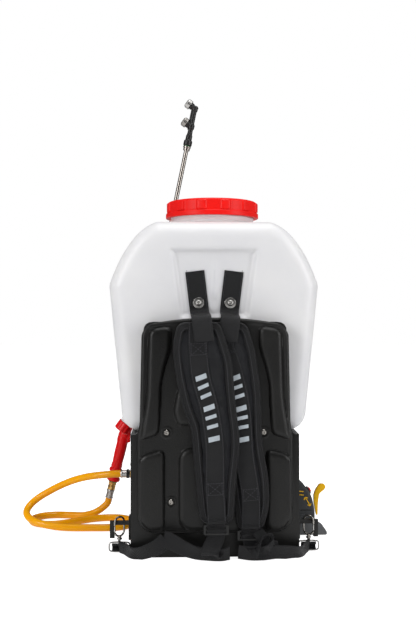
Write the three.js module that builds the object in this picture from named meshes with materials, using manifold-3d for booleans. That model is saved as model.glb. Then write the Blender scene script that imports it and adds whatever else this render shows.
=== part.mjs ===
// A motorised backpack sprayer: tank, moulded back frame, harness, engine and pump, hose, gun and lance.
// Millimetres. +X is to the right as the wearer's back sees it, +Y points away from the back, +Z is up.
// The origin is on the ground, under the middle of the base.
import * as THREE from "three";
import Module from "manifold-3d";
import { mergeVertices } from "three/addons/utils/BufferGeometryUtils.js";

const wasm = await Module();
wasm.setup();

// ---------------------------------------------------------------- driving dimensions
const GAP = 0.3; // between pieces that touch

const TANK_BOTTOM_Z = 200; // where the tank rests on the frame's shelf
const TANK_HEIGHT = 352;
const TANK_TOP_HALF = 176; // half width at the shoulder
const TANK_FOOT_HALF = 156; // half width at the foot
const TANK_FLAT_HALF = 95; // half width of the flat top
const TANK_SHOULDER = 107; // height of the curved shoulder
const TANK_DEPTH = 236;
const TANK_FRONT_Y = -110;
const TANK_WALL = 4;
const TANK_EDGE = 26; // rounding of the edges round the front and rear faces

const NECK_R = 73;
const NECK_WALL = 5;
const NECK_RISE = 32; // the neck stands this far over the tank's top
const LID_R = 79;
const LID_SKIRT_R = 82;
const LID_SKIRT = 8;
const LID_ROOF = 5;
const LID_GRIP = 24; // how far the lid comes down over the neck
const THREAD_CLEARANCE = 1.2;
const GASKET = 2.6;
const STRAINER_DEPTH = 54;
const STRAINER_WALL = 2;
const STRAINER_CLEARANCE = 3;

const RECESS = 8; // depth of the hollow in the tank's front that takes the strap ends
const RECESS_TOP_HALF = 72;
const RECESS_FOOT_HALF = 57;
const DRAIN_R = 11;
const DRAIN_BORE = 7;
const DRAIN_CAP_R = 13.5;
const DRAIN_CAP_LENGTH = 17;

const FRAME_TOP_Z = 384;
const FRAME_FRONT_Y = -134;
const FRAME_WALL = 4;
const FRAME_SHOULDER_Z = 207; // where the wide lower frame ends
const FLOOR = 9; // thickness of the floor
const FLOOR_REAR_Y = 130;
const SHELF = 9;

const PANEL_THICKNESS = 4;
const PAD_RELIEF = 8; // how far the panel's cushions stand out
const PANEL_TOP_Z = 391;
const PANEL_FOOT_Z = 40;
const SCREW_R = 5;

const STRAP_SCREW_X = 26.5;
const STRAP_SCREW_Z = 415;
const WEB_WIDTH = 32;
const WEB = 2; // thickness of the webbing
const PAD = 13; // thickness of a shoulder pad

const EAR_Y = -100;
const EAR_TOP_Z = 53;
const EAR_REACH = 36; // how far an ear stands out from the frame's side

const SHAFT_Z = 66;
const BORE_R = 22; // outer radius of the cylinder barrel
const FIN_HALF = 29;
const FIN_COUNT = 5;
const FAN_R = 54;
const FAN_DEPTH = 26;
const PUMP_HALF = 47; // half width of the pump's block

const HOSE_R = 6.5;
const HOSE_SIDES = 8;
const HOSE_STEPS = 60;
const OUTLET = new THREE.Vector3(-149, 60, 102); // the delivery ferrule's root
const FERRULE = 16.7;
const GUN_TOP = new THREE.Vector3(-165, 145, 160);
const GUN_FOOT = new THREE.Vector3(-186, 145, 73);
const GUN_R = 12.5;
const LANCE_R = 4.2;
const LANCE_TOP = new THREE.Vector3(-42.5, 145, 722);
const NOZZLE_R = 9;

// ---------------------------------------------------------------- derived dimensions
const TANK_TOP_Z = TANK_BOTTOM_Z + TANK_HEIGHT;
const TANK_REAR_Y = TANK_FRONT_Y + TANK_DEPTH;
const FRAME_HALF = TANK_FOOT_HALF - 18; // half width of the lower frame, which clears the drain spout
const FRAME_TOP_HALF = FRAME_HALF - 21;
const PANEL_FOOT_HALF = FRAME_HALF - 11;
const PANEL_TOP_HALF = FRAME_TOP_HALF + 3;
const HOOK_X = FRAME_HALF + 20;
const PUMP_X = PUMP_HALF + 19 - FRAME_HALF; // the pump keeps clear of the frame's left side
const SHAFT_X = PUMP_X + 120; // the engine's crankshaft runs along Y
const COVER_X = SHAFT_X + 64; // the root of the air filter's cover
const OUTLET_Y = TANK_REAR_Y - TANK_EDGE - 16; // the tank's outlet is just behind the shelf
const SHELF_REAR_Y = OUTLET_Y - 14;
const NECK_BORE = NECK_R - NECK_WALL;
const NECK_TOP_Z = TANK_TOP_Z + NECK_RISE;
const FLANGE = 2; // thickness of the strainer's flange
const GASKET_Z = NECK_TOP_Z + FLANGE + 2 * GAP;
const ROOF_Z = GASKET_Z + GASKET + GAP;
const LID_TOP_Z = ROOF_Z + LID_ROOF;
const LID_FOOT_Z = ROOF_Z - LID_GRIP;
const PANEL_BACK_Y = FRAME_FRONT_Y - GAP;
const PANEL_FRONT_Y = PANEL_BACK_Y - PANEL_THICKNESS;
const CUSHION_Y = PANEL_FRONT_Y - PAD_RELIEF;
const SHELF_Z = TANK_BOTTOM_Z - GAP;
const BED_Z = FLOOR + GAP; // where the machinery stands on the floor

// ---------------------------------------------------------------- materials
const matt = (color, roughness = 0.6, metalness = 0) =>
  new THREE.MeshStandardMaterial({ color, roughness, metalness });
const BLACK_PLASTIC = matt(0x2d2d2c, 0.7);
const DARK_PLASTIC = matt(0x46494b, 0.6);
const TANK_PLASTIC = matt(0xe1e1e4, 0.45);
const RED_PLASTIC = matt(0xd80f12, 0.4);
const YELLOW_PLASTIC = matt(0xf0b400, 0.45);
const HOSE_PLASTIC = matt(0xf5a500, 0.3);
const NYLON = matt(0x282a32, 0.9);
const RUBBER = matt(0x202020, 0.85);
const STEEL = matt(0xb9bab8, 0.3, 1);
const ALUMINIUM = matt(0xa9acae, 0.45, 1);
const BRASS = matt(0xc79a4a, 0.35, 1);
const DARK_METAL = matt(0x3a3b3d, 0.5, 0.8);

// ---------------------------------------------------------------- solids
const group = new THREE.Group();

function add(name, geometry, material) {
  const mesh = new THREE.Mesh(geometry, material);
  mesh.name = name;
  group.add(mesh);
}

// A geometry as a closed manifold with its faces pointing out.
function solid(geometry) {
  const bare = geometry.clone();
  bare.deleteAttribute("normal");
  bare.deleteAttribute("uv");
  const merged = mergeVertices(bare, 1e-3);
  const index = merged.index.array;
  const faces = [];
  for (let i = 0; i < index.length; i += 3) {
    const [a, b, c] = [index[i], index[i + 1], index[i + 2]];
    if (a !== b && b !== c && c !== a) faces.push(a, b, c);
  }
  const build = (triangles) =>
    new wasm.Manifold(
      new wasm.Mesh({
        numProp: 3,
        vertProperties: new Float32Array(merged.attributes.position.array),
        triVerts: new Uint32Array(triangles),
      }),
    );
  const made = build(faces);
  return made.volume() > 0 ? made : build(faces.reverse());
}

function geometryOf(manifold) {
  const mesh = manifold.getMesh();
  const geometry = new THREE.BufferGeometry();
  geometry.setAttribute("position", new THREE.BufferAttribute(mesh.vertProperties, 3));
  geometry.setIndex(new THREE.BufferAttribute(mesh.triVerts, 1));
  return geometry;
}

const join = (...parts) => geometryOf(parts.map(solid).reduce((a, b) => a.add(b)));
const cut = (body, ...tools) =>
  geometryOf(tools.map(solid).reduce((a, b) => a.subtract(b), solid(body)));
const closed = (geometry) => geometryOf(solid(geometry));
const mirrored = (geometry) => closed(geometry.clone().scale(-1, 1, 1));

function box(x0, x1, y0, y1, z0, z1) {
  const made = new THREE.BoxGeometry(x1 - x0, y1 - y0, z1 - z0);
  return made.translate((x0 + x1) / 2, (y0 + y1) / 2, (z0 + z1) / 2);
}

// A point on the line from one place to another, a distance past the first.
function along(from, to, distance) {
  return to.clone().sub(from).setLength(distance).add(from);
}

// A round bar between two points, which may taper.
function rod(from, to, r0, r1 = r0, sides = 20) {
  const made = new THREE.CylinderGeometry(r1, r0, from.distanceTo(to), sides);
  const turn = new THREE.Quaternion().setFromUnitVectors(
    new THREE.Vector3(0, 1, 0),
    to.clone().sub(from).normalize(),
  );
  const middle = from.clone().add(to).multiplyScalar(0.5);
  return made.applyQuaternion(turn).translate(middle.x, middle.y, middle.z);
}
const at = (x, y, z) => new THREE.Vector3(x, y, z);

// A profile of [radius, height] pairs turned about a line that starts at one point and runs towards another.
function turned(profile, from, to, sides = 36) {
  const points = profile.map(([r, h]) => new THREE.Vector2(r, h));
  const made = new THREE.LatheGeometry(points, sides);
  const turn = new THREE.Quaternion().setFromUnitVectors(
    new THREE.Vector3(0, 1, 0),
    to.clone().sub(from).normalize(),
  );
  return closed(made.applyQuaternion(turn).translate(from.x, from.y, from.z));
}
const upright = (profile, x, y, z, sides) => turned(profile, at(x, y, z), at(x, y, z + 1), sides);

// A rounded polygon from [x, y, radius] corners.
function outline(corners) {
  const shape = new THREE.Shape();
  const count = corners.length;
  corners.forEach(([x, y, radius = 0], i) => {
    const corner = new THREE.Vector2(x, y);
    const side = (other) => {
      const end = new THREE.Vector2(corners[other][0], corners[other][1]);
      const reach = Math.min(radius, 0.48 * end.distanceTo(corner));
      return end.sub(corner).setLength(reach).add(corner);
    };
    const before = side((i + count - 1) % count);
    const after = side((i + 1) % count);
    if (i === 0) shape.moveTo(before.x, before.y);
    else shape.lineTo(before.x, before.y);
    if (radius > 0) shape.quadraticCurveTo(x, y, after.x, after.y);
  });
  shape.closePath();
  return shape;
}

// A shape drawn in X and Z, made thick from y0 back to y1.
function facing(shape, y0, y1, options = {}) {
  const { bevel = 0, inset = 0, segments = 2, curve = 4 } = options;
  const made = new THREE.ExtrudeGeometry(shape, {
    depth: y1 - y0 - 2 * bevel,
    bevelEnabled: bevel > 0 || inset > 0,
    bevelThickness: bevel,
    bevelSize: bevel,
    bevelOffset: -bevel - inset,
    bevelSegments: segments,
    curveSegments: curve,
  });
  return made.rotateX(Math.PI / 2).translate(0, y1 - bevel, 0);
}

// A shape drawn in Y and Z, made thick from x0 to x1.
function sideways(shape, x0, x1) {
  const made = new THREE.ExtrudeGeometry(shape, {
    depth: x1 - x0,
    bevelEnabled: false,
    curveSegments: 4,
  });
  const axes = new THREE.Matrix4().makeBasis(at(0, 1, 0), at(0, 0, 1), at(1, 0, 0));
  return made.applyMatrix4(axes).translate(x0, 0, 0);
}

// A shape drawn in X and Y, made thick from z0 to z1.
function flat(shape, z0, z1) {
  const made = new THREE.ExtrudeGeometry(shape, {
    depth: z1 - z0,
    bevelEnabled: false,
    curveSegments: 4,
  });
  return made.translate(0, 0, z0);
}

// A round or flat bar swept along a smooth curve through points.
function swept(points, section, steps) {
  const path = new THREE.CatmullRomCurve3(points, false, "centripetal");
  return closed(
    new THREE.ExtrudeGeometry(section, { steps, extrudePath: path, bevelEnabled: false }),
  );
}

function disc(radius, sides) {
  const corner = (i) => (2 * Math.PI * i) / sides;
  return new THREE.Shape(
    Array.from({ length: sides }, (_, i) =>
      new THREE.Vector2(radius * Math.cos(corner(i)), radius * Math.sin(corner(i))),
    ),
  );
}

function ring(inner, outer, z0, z1, sides) {
  return upright(
    [[inner, z0], [outer, z0], [outer, z1], [inner, z1], [inner, z0]], 0, 0, 0, sides);
}

// ---------------------------------------------------------------- tank
// The front outline: a narrower foot, sides that lean out, and a curved shoulder up to the flat top.
function tankOutline() {
  const shoulderZ = TANK_TOP_Z - TANK_SHOULDER;
  const span = TANK_TOP_HALF - TANK_FLAT_HALF;
  const corner = 40;
  const low = [TANK_TOP_HALF - 0.1 * span, shoulderZ + 0.24 * TANK_SHOULDER];
  const high = [TANK_TOP_HALF - 0.44 * span, shoulderZ + 0.89 * TANK_SHOULDER];
  const shape = new THREE.Shape();
  shape.moveTo(-TANK_FOOT_HALF + corner, TANK_BOTTOM_Z);
  shape.lineTo(TANK_FOOT_HALF - corner, TANK_BOTTOM_Z);
  shape.quadraticCurveTo(TANK_FOOT_HALF, TANK_BOTTOM_Z, TANK_FOOT_HALF, TANK_BOTTOM_Z + corner);
  shape.lineTo(TANK_TOP_HALF, shoulderZ);
  shape.bezierCurveTo(low[0], low[1], high[0], high[1], TANK_FLAT_HALF, TANK_TOP_Z);
  shape.lineTo(-TANK_FLAT_HALF, TANK_TOP_Z);
  shape.bezierCurveTo(-high[0], high[1], -low[0], low[1], -TANK_TOP_HALF, shoulderZ);
  shape.lineTo(-TANK_FOOT_HALF, TANK_BOTTOM_Z + corner);
  shape.quadraticCurveTo(-TANK_FOOT_HALF, TANK_BOTTOM_Z, -TANK_FOOT_HALF + corner, TANK_BOTTOM_Z);
  shape.closePath();
  return shape;
}

// The hollow in the tank's front that takes the strap ends.
const RECESS_TOP_Z = STRAP_SCREW_Z + 90;
const RECESS_FOOT_Z = STRAP_SCREW_Z - 24;
function recessOutline(grow) {
  const top = RECESS_TOP_HALF + grow;
  const foot = RECESS_FOOT_HALF + grow;
  const corner = 18;
  return outline([
    [-foot, RECESS_FOOT_Z - grow, corner],
    [foot, RECESS_FOOT_Z - grow, corner],
    [top, RECESS_TOP_Z + grow, corner],
    [-top, RECESS_TOP_Z + grow, corner],
  ]);
}

// The drain spout leaves the tank's lower left corner, pointing down and out.
const DRAIN_TILT = at(-0.6, 0, -0.8);
const DRAIN_ROOT = at(-TANK_FOOT_HALF + 3.7, 0, TANK_BOTTOM_Z + 3); // where the spout's cap begins
const drainAt = (distance) => DRAIN_TILT.clone().multiplyScalar(distance).add(DRAIN_ROOT);
const DRAIN_THREAD = DRAIN_CAP_LENGTH - 4; // how far the spout reaches into its cap

const OUTLET_X = PUMP_X;
const SPIGOT_BORE = 5.5;

function tank() {
  const outer = facing(tankOutline(), TANK_FRONT_Y, TANK_REAR_Y, {
    bevel: TANK_EDGE, segments: 3, curve: 4 });
  const cavity = facing(tankOutline(), TANK_FRONT_Y + TANK_WALL, TANK_REAR_Y - TANK_WALL, {
    bevel: TANK_EDGE - TANK_WALL, inset: TANK_WALL, segments: 2, curve: 4 });
  const floorOfRecess = TANK_FRONT_Y + RECESS;
  const recess = facing(recessOutline(0), TANK_FRONT_Y - 5, floorOfRecess);
  const bulge = facing(recessOutline(TANK_WALL), TANK_FRONT_Y - 5, floorOfRecess + TANK_WALL);
  const neck = upright(
    [[0, TANK_TOP_Z - 30], [NECK_R, TANK_TOP_Z - 30], [NECK_R, NECK_TOP_Z], [0, NECK_TOP_Z]],
    0, 0, 0, 32);
  const bore = upright(
    [[0, TANK_TOP_Z - 31], [NECK_BORE, TANK_TOP_Z - 31], [NECK_BORE, NECK_TOP_Z + 1], [0, NECK_TOP_Z + 1]],
    0, 0, 0, 32);
  const collar = upright(
    [[0, TANK_TOP_Z - 30], [NECK_R + 1, TANK_TOP_Z - 30], [NECK_R + 1, TANK_TOP_Z - TANK_WALL],
      [0, TANK_TOP_Z - TANK_WALL]], 0, 0, 0, 32);
  const spout = rod(drainAt(-24), drainAt(DRAIN_THREAD), DRAIN_R);
  const drain = rod(drainAt(-34), drainAt(DRAIN_THREAD + 1), DRAIN_BORE);
  const outlet = rod(
    at(OUTLET_X, OUTLET_Y, TANK_BOTTOM_Z - 1), at(OUTLET_X, OUTLET_Y, TANK_BOTTOM_Z + 8), SPIGOT_BORE);
  const shell = join(cut(join(outer, cut(neck, collar)), cut(cavity, bulge)), spout);
  return cut(shell, recess, bore, drain, outlet);
}
add("tank", tank(), TANK_PLASTIC);

function drainCap() {
  const facets = 10;
  const inner = DRAIN_R / Math.cos(Math.PI / facets) + GAP;
  return turned(
    [[0, DRAIN_CAP_LENGTH], [0, DRAIN_THREAD + 1], [inner, DRAIN_THREAD + 1], [inner, 0],
      [DRAIN_CAP_R, 0], [DRAIN_CAP_R, DRAIN_CAP_LENGTH - 2], [DRAIN_CAP_R - 2, DRAIN_CAP_LENGTH],
      [0, DRAIN_CAP_LENGTH]],
    DRAIN_ROOT, drainAt(1), facets);
}
add("drain_cap", drainCap(), RED_PLASTIC);

// ---------------------------------------------------------------- lid, gasket and strainer
function lid() {
  const inner = NECK_R + THREAD_CLEARANCE;
  const body = upright(
    [[0, LID_TOP_Z], [0, ROOF_Z], [inner, ROOF_Z], [inner, LID_FOOT_Z], [LID_SKIRT_R, LID_FOOT_Z],
      [LID_SKIRT_R, LID_FOOT_Z + LID_SKIRT], [LID_R, LID_FOOT_Z + LID_SKIRT + 1.5],
      [LID_R, LID_TOP_Z - 4], [LID_R - 4, LID_TOP_Z], [0, LID_TOP_Z]],
    0, 0, 0, 32);
  const lugs = Array.from({ length: 12 }, (_, i) => {
    const lug = box(LID_R - 2, LID_SKIRT_R, -5, 5, LID_FOOT_Z + LID_SKIRT - 1, LID_TOP_Z - 6);
    return lug.rotateZ((i * Math.PI) / 6);
  });
  return join(body, ...lugs);
}
add("tank_lid", lid(), RED_PLASTIC);
add("lid_gasket", ring(NECK_BORE, NECK_R, GASKET_Z, GASKET_Z + GASKET, 32), RUBBER);

function strainer() {
  const outer = NECK_BORE - STRAINER_CLEARANCE;
  const inner = outer - STRAINER_WALL;
  const rim = NECK_TOP_Z + GAP;
  const foot = rim - STRAINER_DEPTH;
  return upright(
    [[0, foot], [outer - 4, foot], [outer, rim], [NECK_R - 1, rim], [NECK_R - 1, rim + FLANGE],
      [inner, rim + FLANGE], [inner - 4, foot + STRAINER_WALL], [0, foot + STRAINER_WALL], [0, foot]],
    0, 0, 0, 28);
}
add("fill_strainer", strainer(), BLACK_PLASTIC);

// ---------------------------------------------------------------- back frame
const POCKET_BACK_Y = FRAME_FRONT_Y + 14; // the front wall's rim reaches back to here

function frameOutline(inset) {
  const low = FRAME_HALF - inset;
  const high = FRAME_TOP_HALF - inset;
  return outline([
    [-low, inset, 3],
    [low, inset, 3],
    [low, FRAME_SHOULDER_Z - 12, 8],
    [high + 4, FRAME_SHOULDER_Z, 8],
    [high, FRAME_TOP_Z - inset, 16],
    [-high, FRAME_TOP_Z - inset, 16],
    [-high - 4, FRAME_SHOULDER_Z, 8],
    [-low, FRAME_SHOULDER_Z - 12, 8],
  ]);
}

function wing(x0, x1) {
  const open = -30; // the side is open behind here, for the machinery
  return sideways(
    outline([
      [FRAME_FRONT_Y + 2, 0], [open, 0], [open, 112, 10], [10, 152, 20],
      [SHELF_REAR_Y, SHELF_Z - SHELF], [SHELF_REAR_Y, SHELF_Z], [FRAME_FRONT_Y + 2, SHELF_Z],
    ]), x0, x1);
}

function baseFrame() {
  const wall = facing(frameOutline(0), FRAME_FRONT_Y, POCKET_BACK_Y);
  const pocket = facing(frameOutline(FRAME_WALL), FRAME_FRONT_Y + FRAME_WALL, POCKET_BACK_Y + 1);
  const side = FRAME_HALF - FRAME_WALL;
  const floor = flat(
    outline([
      [-FRAME_HALF, FRAME_FRONT_Y + 2], [FRAME_HALF, FRAME_FRONT_Y + 2],
      [FRAME_HALF, FLOOR_REAR_Y, 20], [-FRAME_HALF, FLOOR_REAR_Y, 20],
    ]), 0, FLOOR);
  const shelf = box(-side - 1, side + 1, FRAME_FRONT_Y + 2, SHELF_REAR_Y, SHELF_Z - SHELF, SHELF_Z);
  return join(
    cut(wall, pocket), floor, shelf, wing(-FRAME_HALF, -side), wing(side, FRAME_HALF));
}
add("base_frame", baseFrame(), BLACK_PLASTIC);

// The panel's cushions, as [x, z, radius] corners on the right half or across the middle.
const UPPER_CUSHION = [
  [72, 376, 12], [107, 371, 14], [110, 262, 14], [117, 196, 8], [93, 202, 8], [90, 249, 10], [82, 314, 14], [73, 342, 10],
];
const LOWER_CUSHION = [[84, 176, 8], [120, 166, 12], [120, 68, 20], [106, 48, 14], [84, 48, 10]];
const CENTRE_TOP = [[-60, 277, 12], [60, 277, 12], [66, 238, 18], [60, 217, 10], [-60, 217, 10], [-66, 238, 18]];
const CENTRE_LOW = [[-57, 177, 10], [57, 177, 10], [57, 48, 12], [-57, 48, 12]];
const swapped = (corners) => corners.map(([x, z, radius]) => [-x, z, radius]);

// The four screws that hold the panel to the frame, as [x, z].
const SCREWS = [[-79, 204], [79, 204], [-72, 91], [72, 91]];

function backrest() {
  const sheet = facing(
    outline([
      [-PANEL_FOOT_HALF, PANEL_FOOT_Z, 30], [PANEL_FOOT_HALF, PANEL_FOOT_Z, 30],
      [PANEL_FOOT_HALF, FRAME_SHOULDER_Z - 6, 14], [PANEL_TOP_HALF + 3, FRAME_SHOULDER_Z + 24, 14],
      [PANEL_TOP_HALF, PANEL_TOP_Z - 8, 16], [PANEL_TOP_HALF - 24, PANEL_TOP_Z, 10],
      [24 - PANEL_TOP_HALF, PANEL_TOP_Z, 10], [-PANEL_TOP_HALF, PANEL_TOP_Z - 8, 16],
      [-PANEL_TOP_HALF - 3, FRAME_SHOULDER_Z + 24, 14], [-PANEL_FOOT_HALF, FRAME_SHOULDER_Z - 6, 14],
    ]), PANEL_FRONT_Y, PANEL_BACK_Y);
  const cushions = [
    UPPER_CUSHION, swapped(UPPER_CUSHION), LOWER_CUSHION, swapped(LOWER_CUSHION), CENTRE_TOP, CENTRE_LOW,
  ].map((corners) => facing(outline(corners), CUSHION_Y, PANEL_BACK_Y - 1, { bevel: 3, segments: 1 }));
  const holes = SCREWS.map(([x, z]) =>
    rod(at(x, PANEL_FRONT_Y - 2, z), at(x, PANEL_BACK_Y + 2, z), 3.2, 3.2, 12));
  return cut(join(sheet, ...cushions), ...holes);
}

function panelScrew(x, z) {
  const head = PANEL_FRONT_Y - GAP;
  return turned(
    [[0, -3], [SCREW_R - 1.5, -3], [SCREW_R, -1.2], [SCREW_R, 0], [2.6, 0], [2.6, PANEL_THICKNESS], [0, PANEL_THICKNESS]],
    at(x, head, z), at(x, head + 1, z), 14);
}
add("backrest_panel", backrest(), BLACK_PLASTIC);
SCREWS.forEach(([x, z], i) => add(`backrest_screw_${i + 1}`, panelScrew(x, z), STEEL));

// An outrigger foot on the right, beside the floor.
const FOOT_REACH = 69;
function sideFoot() {
  const root = FRAME_HALF + GAP;
  const tip = FRAME_HALF + FOOT_REACH;
  return facing(
    outline([[root, 0], [tip, 0, 3], [tip, 7, 4], [tip - 20, 20, 5], [root, 26]]), 4, 58);
}
add("side_foot", closed(sideFoot()), DARK_PLASTIC);

// ---------------------------------------------------------------- harness
// An ear is a claw that stands out from the frame's side and carries a snap hook.
const EAR_HALF = 3; // half thickness along Y
const ARM = 7; // height of the claw's arm
function ear() {
  const root = FRAME_HALF + GAP;
  const end = FRAME_HALF + EAR_REACH;
  const plate = box(root, root + 4, EAR_Y - 12, EAR_Y + 12, EAR_TOP_Z - 30, EAR_TOP_Z + 8);
  const arm = box(root, end, EAR_Y - EAR_HALF, EAR_Y + EAR_HALF, EAR_TOP_Z - ARM, EAR_TOP_Z);
  const lip = box(end - 8, end, EAR_Y - EAR_HALF, EAR_Y + EAR_HALF, EAR_TOP_Z - 29, EAR_TOP_Z);
  return join(plate, arm, lip);
}

// A snap hook is a long loop of wire round the arm, with a sprung gate in its outer side.
const WIRE_R = 1.7;
const LOOP_R = 9;
const LOOP_TURN = (35 * Math.PI) / 180; // the loop's plane is turned this far from the front
const LOOP_TOP_Z = EAR_TOP_Z - 3; // centre of the upper bend
const LOOP_FOOT_Z = LOOP_TOP_Z - 14; // centre of the lower bend
const GATE_Z = LOOP_FOOT_Z - 0.5; // the gate's pivot
const GATE_LENGTH = 8.6;
const EYE_R = 4.6;
const EYE_Z = LOOP_FOOT_Z - LOOP_R - 5.5 - EYE_R + 0.8;
const inLoop = (u, z) => at(HOOK_X + u * Math.cos(LOOP_TURN), EAR_Y - u * Math.sin(LOOP_TURN), z);

function snapHook() {
  const points = [inLoop(LOOP_R, GATE_Z + GATE_LENGTH + 1.4), inLoop(LOOP_R, LOOP_TOP_Z - 1)];
  for (let i = 0; i <= 6; i++) {
    const angle = (i * Math.PI) / 6;
    points.push(inLoop(LOOP_R * Math.cos(angle), LOOP_TOP_Z + LOOP_R * Math.sin(angle)));
  }
  for (let i = 0; i <= 5; i++) {
    const angle = Math.PI + (i * Math.PI) / 6;
    points.push(inLoop(LOOP_R * Math.cos(angle), LOOP_FOOT_Z + LOOP_R * Math.sin(angle)));
  }
  points.push(inLoop(LOOP_R, LOOP_FOOT_Z - 2.6));
  const wire = swept(points, disc(WIRE_R, 6), 24);
  const stem = LOOP_FOOT_Z - LOOP_R;
  const barrel = rod(at(HOOK_X, EAR_Y, stem + 1), at(HOOK_X, EAR_Y, stem - 5.5), 3.4, 4.2, 12);
  const eye = new THREE.TorusGeometry(EYE_R, WIRE_R, 6, 12).rotateY(Math.PI / 2);
  return join(wire, barrel, eye.translate(HOOK_X, EAR_Y, EYE_Z));
}

function hookGate() {
  return closed(rod(inLoop(LOOP_R, GATE_Z), inLoop(LOOP_R, GATE_Z + GATE_LENGTH), 1.5, 1.3, 8));
}

// The wire ring that the lower webbing loops through hangs in the hook's eye.
const RING_WIDTH = 34;
const RING_WIRE = 1.3;
const RING_TOP_Z = EYE_Z - EYE_R + WIRE_R + RING_WIRE + GAP;
const RING_FOOT_Z = 1.8;
function strapRing() {
  const corners = [
    [-RING_WIDTH / 2, RING_TOP_Z], [RING_WIDTH / 2, RING_TOP_Z],
    [RING_WIDTH / 2, RING_FOOT_Z], [-RING_WIDTH / 2, RING_FOOT_Z],
  ].map(([x, z]) => at(HOOK_X + x, EAR_Y, z));
  const bars = corners.map((corner, i) => rod(corner, corners[(i + 1) % 4], RING_WIRE, RING_WIRE, 6));
  const bends = corners.map((corner) =>
    new THREE.SphereGeometry(RING_WIRE * 1.04, 6, 4).translate(corner.x, corner.y, corner.z));
  return join(...bars, ...bends);
}

const PAD_TOP_Z = 383;

// Each strap's cushion, as [x, z, radius] corners seen from the front; the left one lies over the right one.
const LEFT_PAD = [
  [-61, PAD_TOP_Z, 12], [4, PAD_TOP_Z, 12], [13, 360, 20], [25, 321, 20], [29, 262, 20], [38, 192, 20], [30, 120, 20],
  [27, 62, 6], [-25, 62, 6], [-34, 155, 20], [-39, 215, 14], [-52, 246, 14], [-64, 300, 14], [-69, 345, 20],
];
const RIGHT_PAD = [
  [-30, PAD_TOP_Z, 12], [49, PAD_TOP_Z, 12], [62, 342, 20], [72, 274, 20], [74, 190, 20], [85, 130, 20], [86, 88, 20],
  [76, 49, 6], [35, 49, 6], [28, 100, 20], [18, 170, 20], [8, 240, 14], [-12, 300, 20], [-32, 345, 20],
];
const RIGHT_PAD_Y = CUSHION_Y - 1.5;
const LEFT_PAD_Y = RIGHT_PAD_Y - PAD - 1.5;
const pad = (corners, back) =>
  closed(facing(outline(corners), back - PAD, back, { bevel: 3, segments: 1, curve: 2 }));

// The webbing from a strap's screw, down over the panel's top edge to its cushion.
const WEB_END_Z = STRAP_SCREW_Z + 53;
const STRAP_LEAN = 0.12; // sideways step for each step down
function topWebbing(side, padBack) {
  const wall = TANK_FRONT_Y + RECESS - GAP;
  const drop = padBack - PAD / 2;
  const over = PANEL_TOP_Z + 3;
  const path = [
    [wall, WEB_END_Z], [wall, over + 10], [wall - 12, over + 3], [PANEL_BACK_Y + 2, over],
    [CUSHION_Y, over - 2], [drop, PANEL_TOP_Z - 2], [drop, PAD_TOP_Z + GAP],
  ];
  const front = path.map(([y, z], i) => [y - WEB, z + (i > 1 && i < 5 ? WEB : 0)]);
  const strip = sideways(
    outline([...path, ...front.reverse()]), -WEB_WIDTH / 2, WEB_WIDTH / 2);
  const lean = new THREE.Matrix4().set(
    1, 0, side * STRAP_LEAN, side * (STRAP_SCREW_X - STRAP_LEAN * STRAP_SCREW_Z),
    0, 1, 0, 0,
    0, 0, 1, 0,
    0, 0, 0, 1);
  const hole = rod(
    at(side * STRAP_SCREW_X, wall - 6, STRAP_SCREW_Z), at(side * STRAP_SCREW_X, wall + 3, STRAP_SCREW_Z),
    3.4, 3.4, 12);
  return cut(strip.applyMatrix4(lean), hole);
}

function strapScrew(side) {
  const wall = TANK_FRONT_Y + RECESS - GAP - WEB - GAP;
  const x = side * STRAP_SCREW_X;
  return turned(
    [[0, -3.4], [2.6, -3.4], [4.8, -1.4], [9.3, -1.4], [9.3, 0], [3, 0], [3, WEB + GAP], [0, WEB + GAP]],
    at(x, wall, STRAP_SCREW_Z), at(x, wall + 1, STRAP_SCREW_Z), 20);
}

// A ladder buckle: a frame with two slots, as wide as the webbing and a little more.
function sliderBuckle(x, z, y) {
  const half = WEB_WIDTH / 2 + 4;
  const body = facing(
    outline([[x - half, z, 3], [x + half, z, 3], [x + half, z + 17, 3], [x - half, z + 17, 3]]), y - 2.5, y + 2.5);
  const slots = [3, 10].map((rise) =>
    box(x - half + 4, x + half - 4, y - 4, y + 4, z + rise, z + rise + 4));
  return cut(body, ...slots);
}
const LEFT_SLIDER = [0, 44.5];
const RIGHT_SLIDER = [55, 31.5];

// The lower webbing falls from its buckle and lies round the frame's corner to its ring.
const LEFT_FALL = [
  at(0, -168, 42.5), at(-2, -168.5, 30), at(-20, -168, 24), at(-55, -164, 27), at(-85, -160, 33),
  at(-112, -156, 30), at(-FRAME_HALF, -148, 21), at(7 - HOOK_X, -132, 15), at(2 - HOOK_X, -109, 14),
];
const RIGHT_FALL = [
  at(55, -154, 24.8), at(60, -154.2, 17), at(76, -154, 14), at(92, -153.5, 13), at(112, -152, 14),
  at(FRAME_HALF, -146, 14), at(HOOK_X - 7, -132, 14), at(HOOK_X - 2, -109, 14),
];
const band = () => outline([[-1.2, -11.5], [1.2, -11.5], [1.2, 11.5], [-1.2, 11.5]]);

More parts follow.
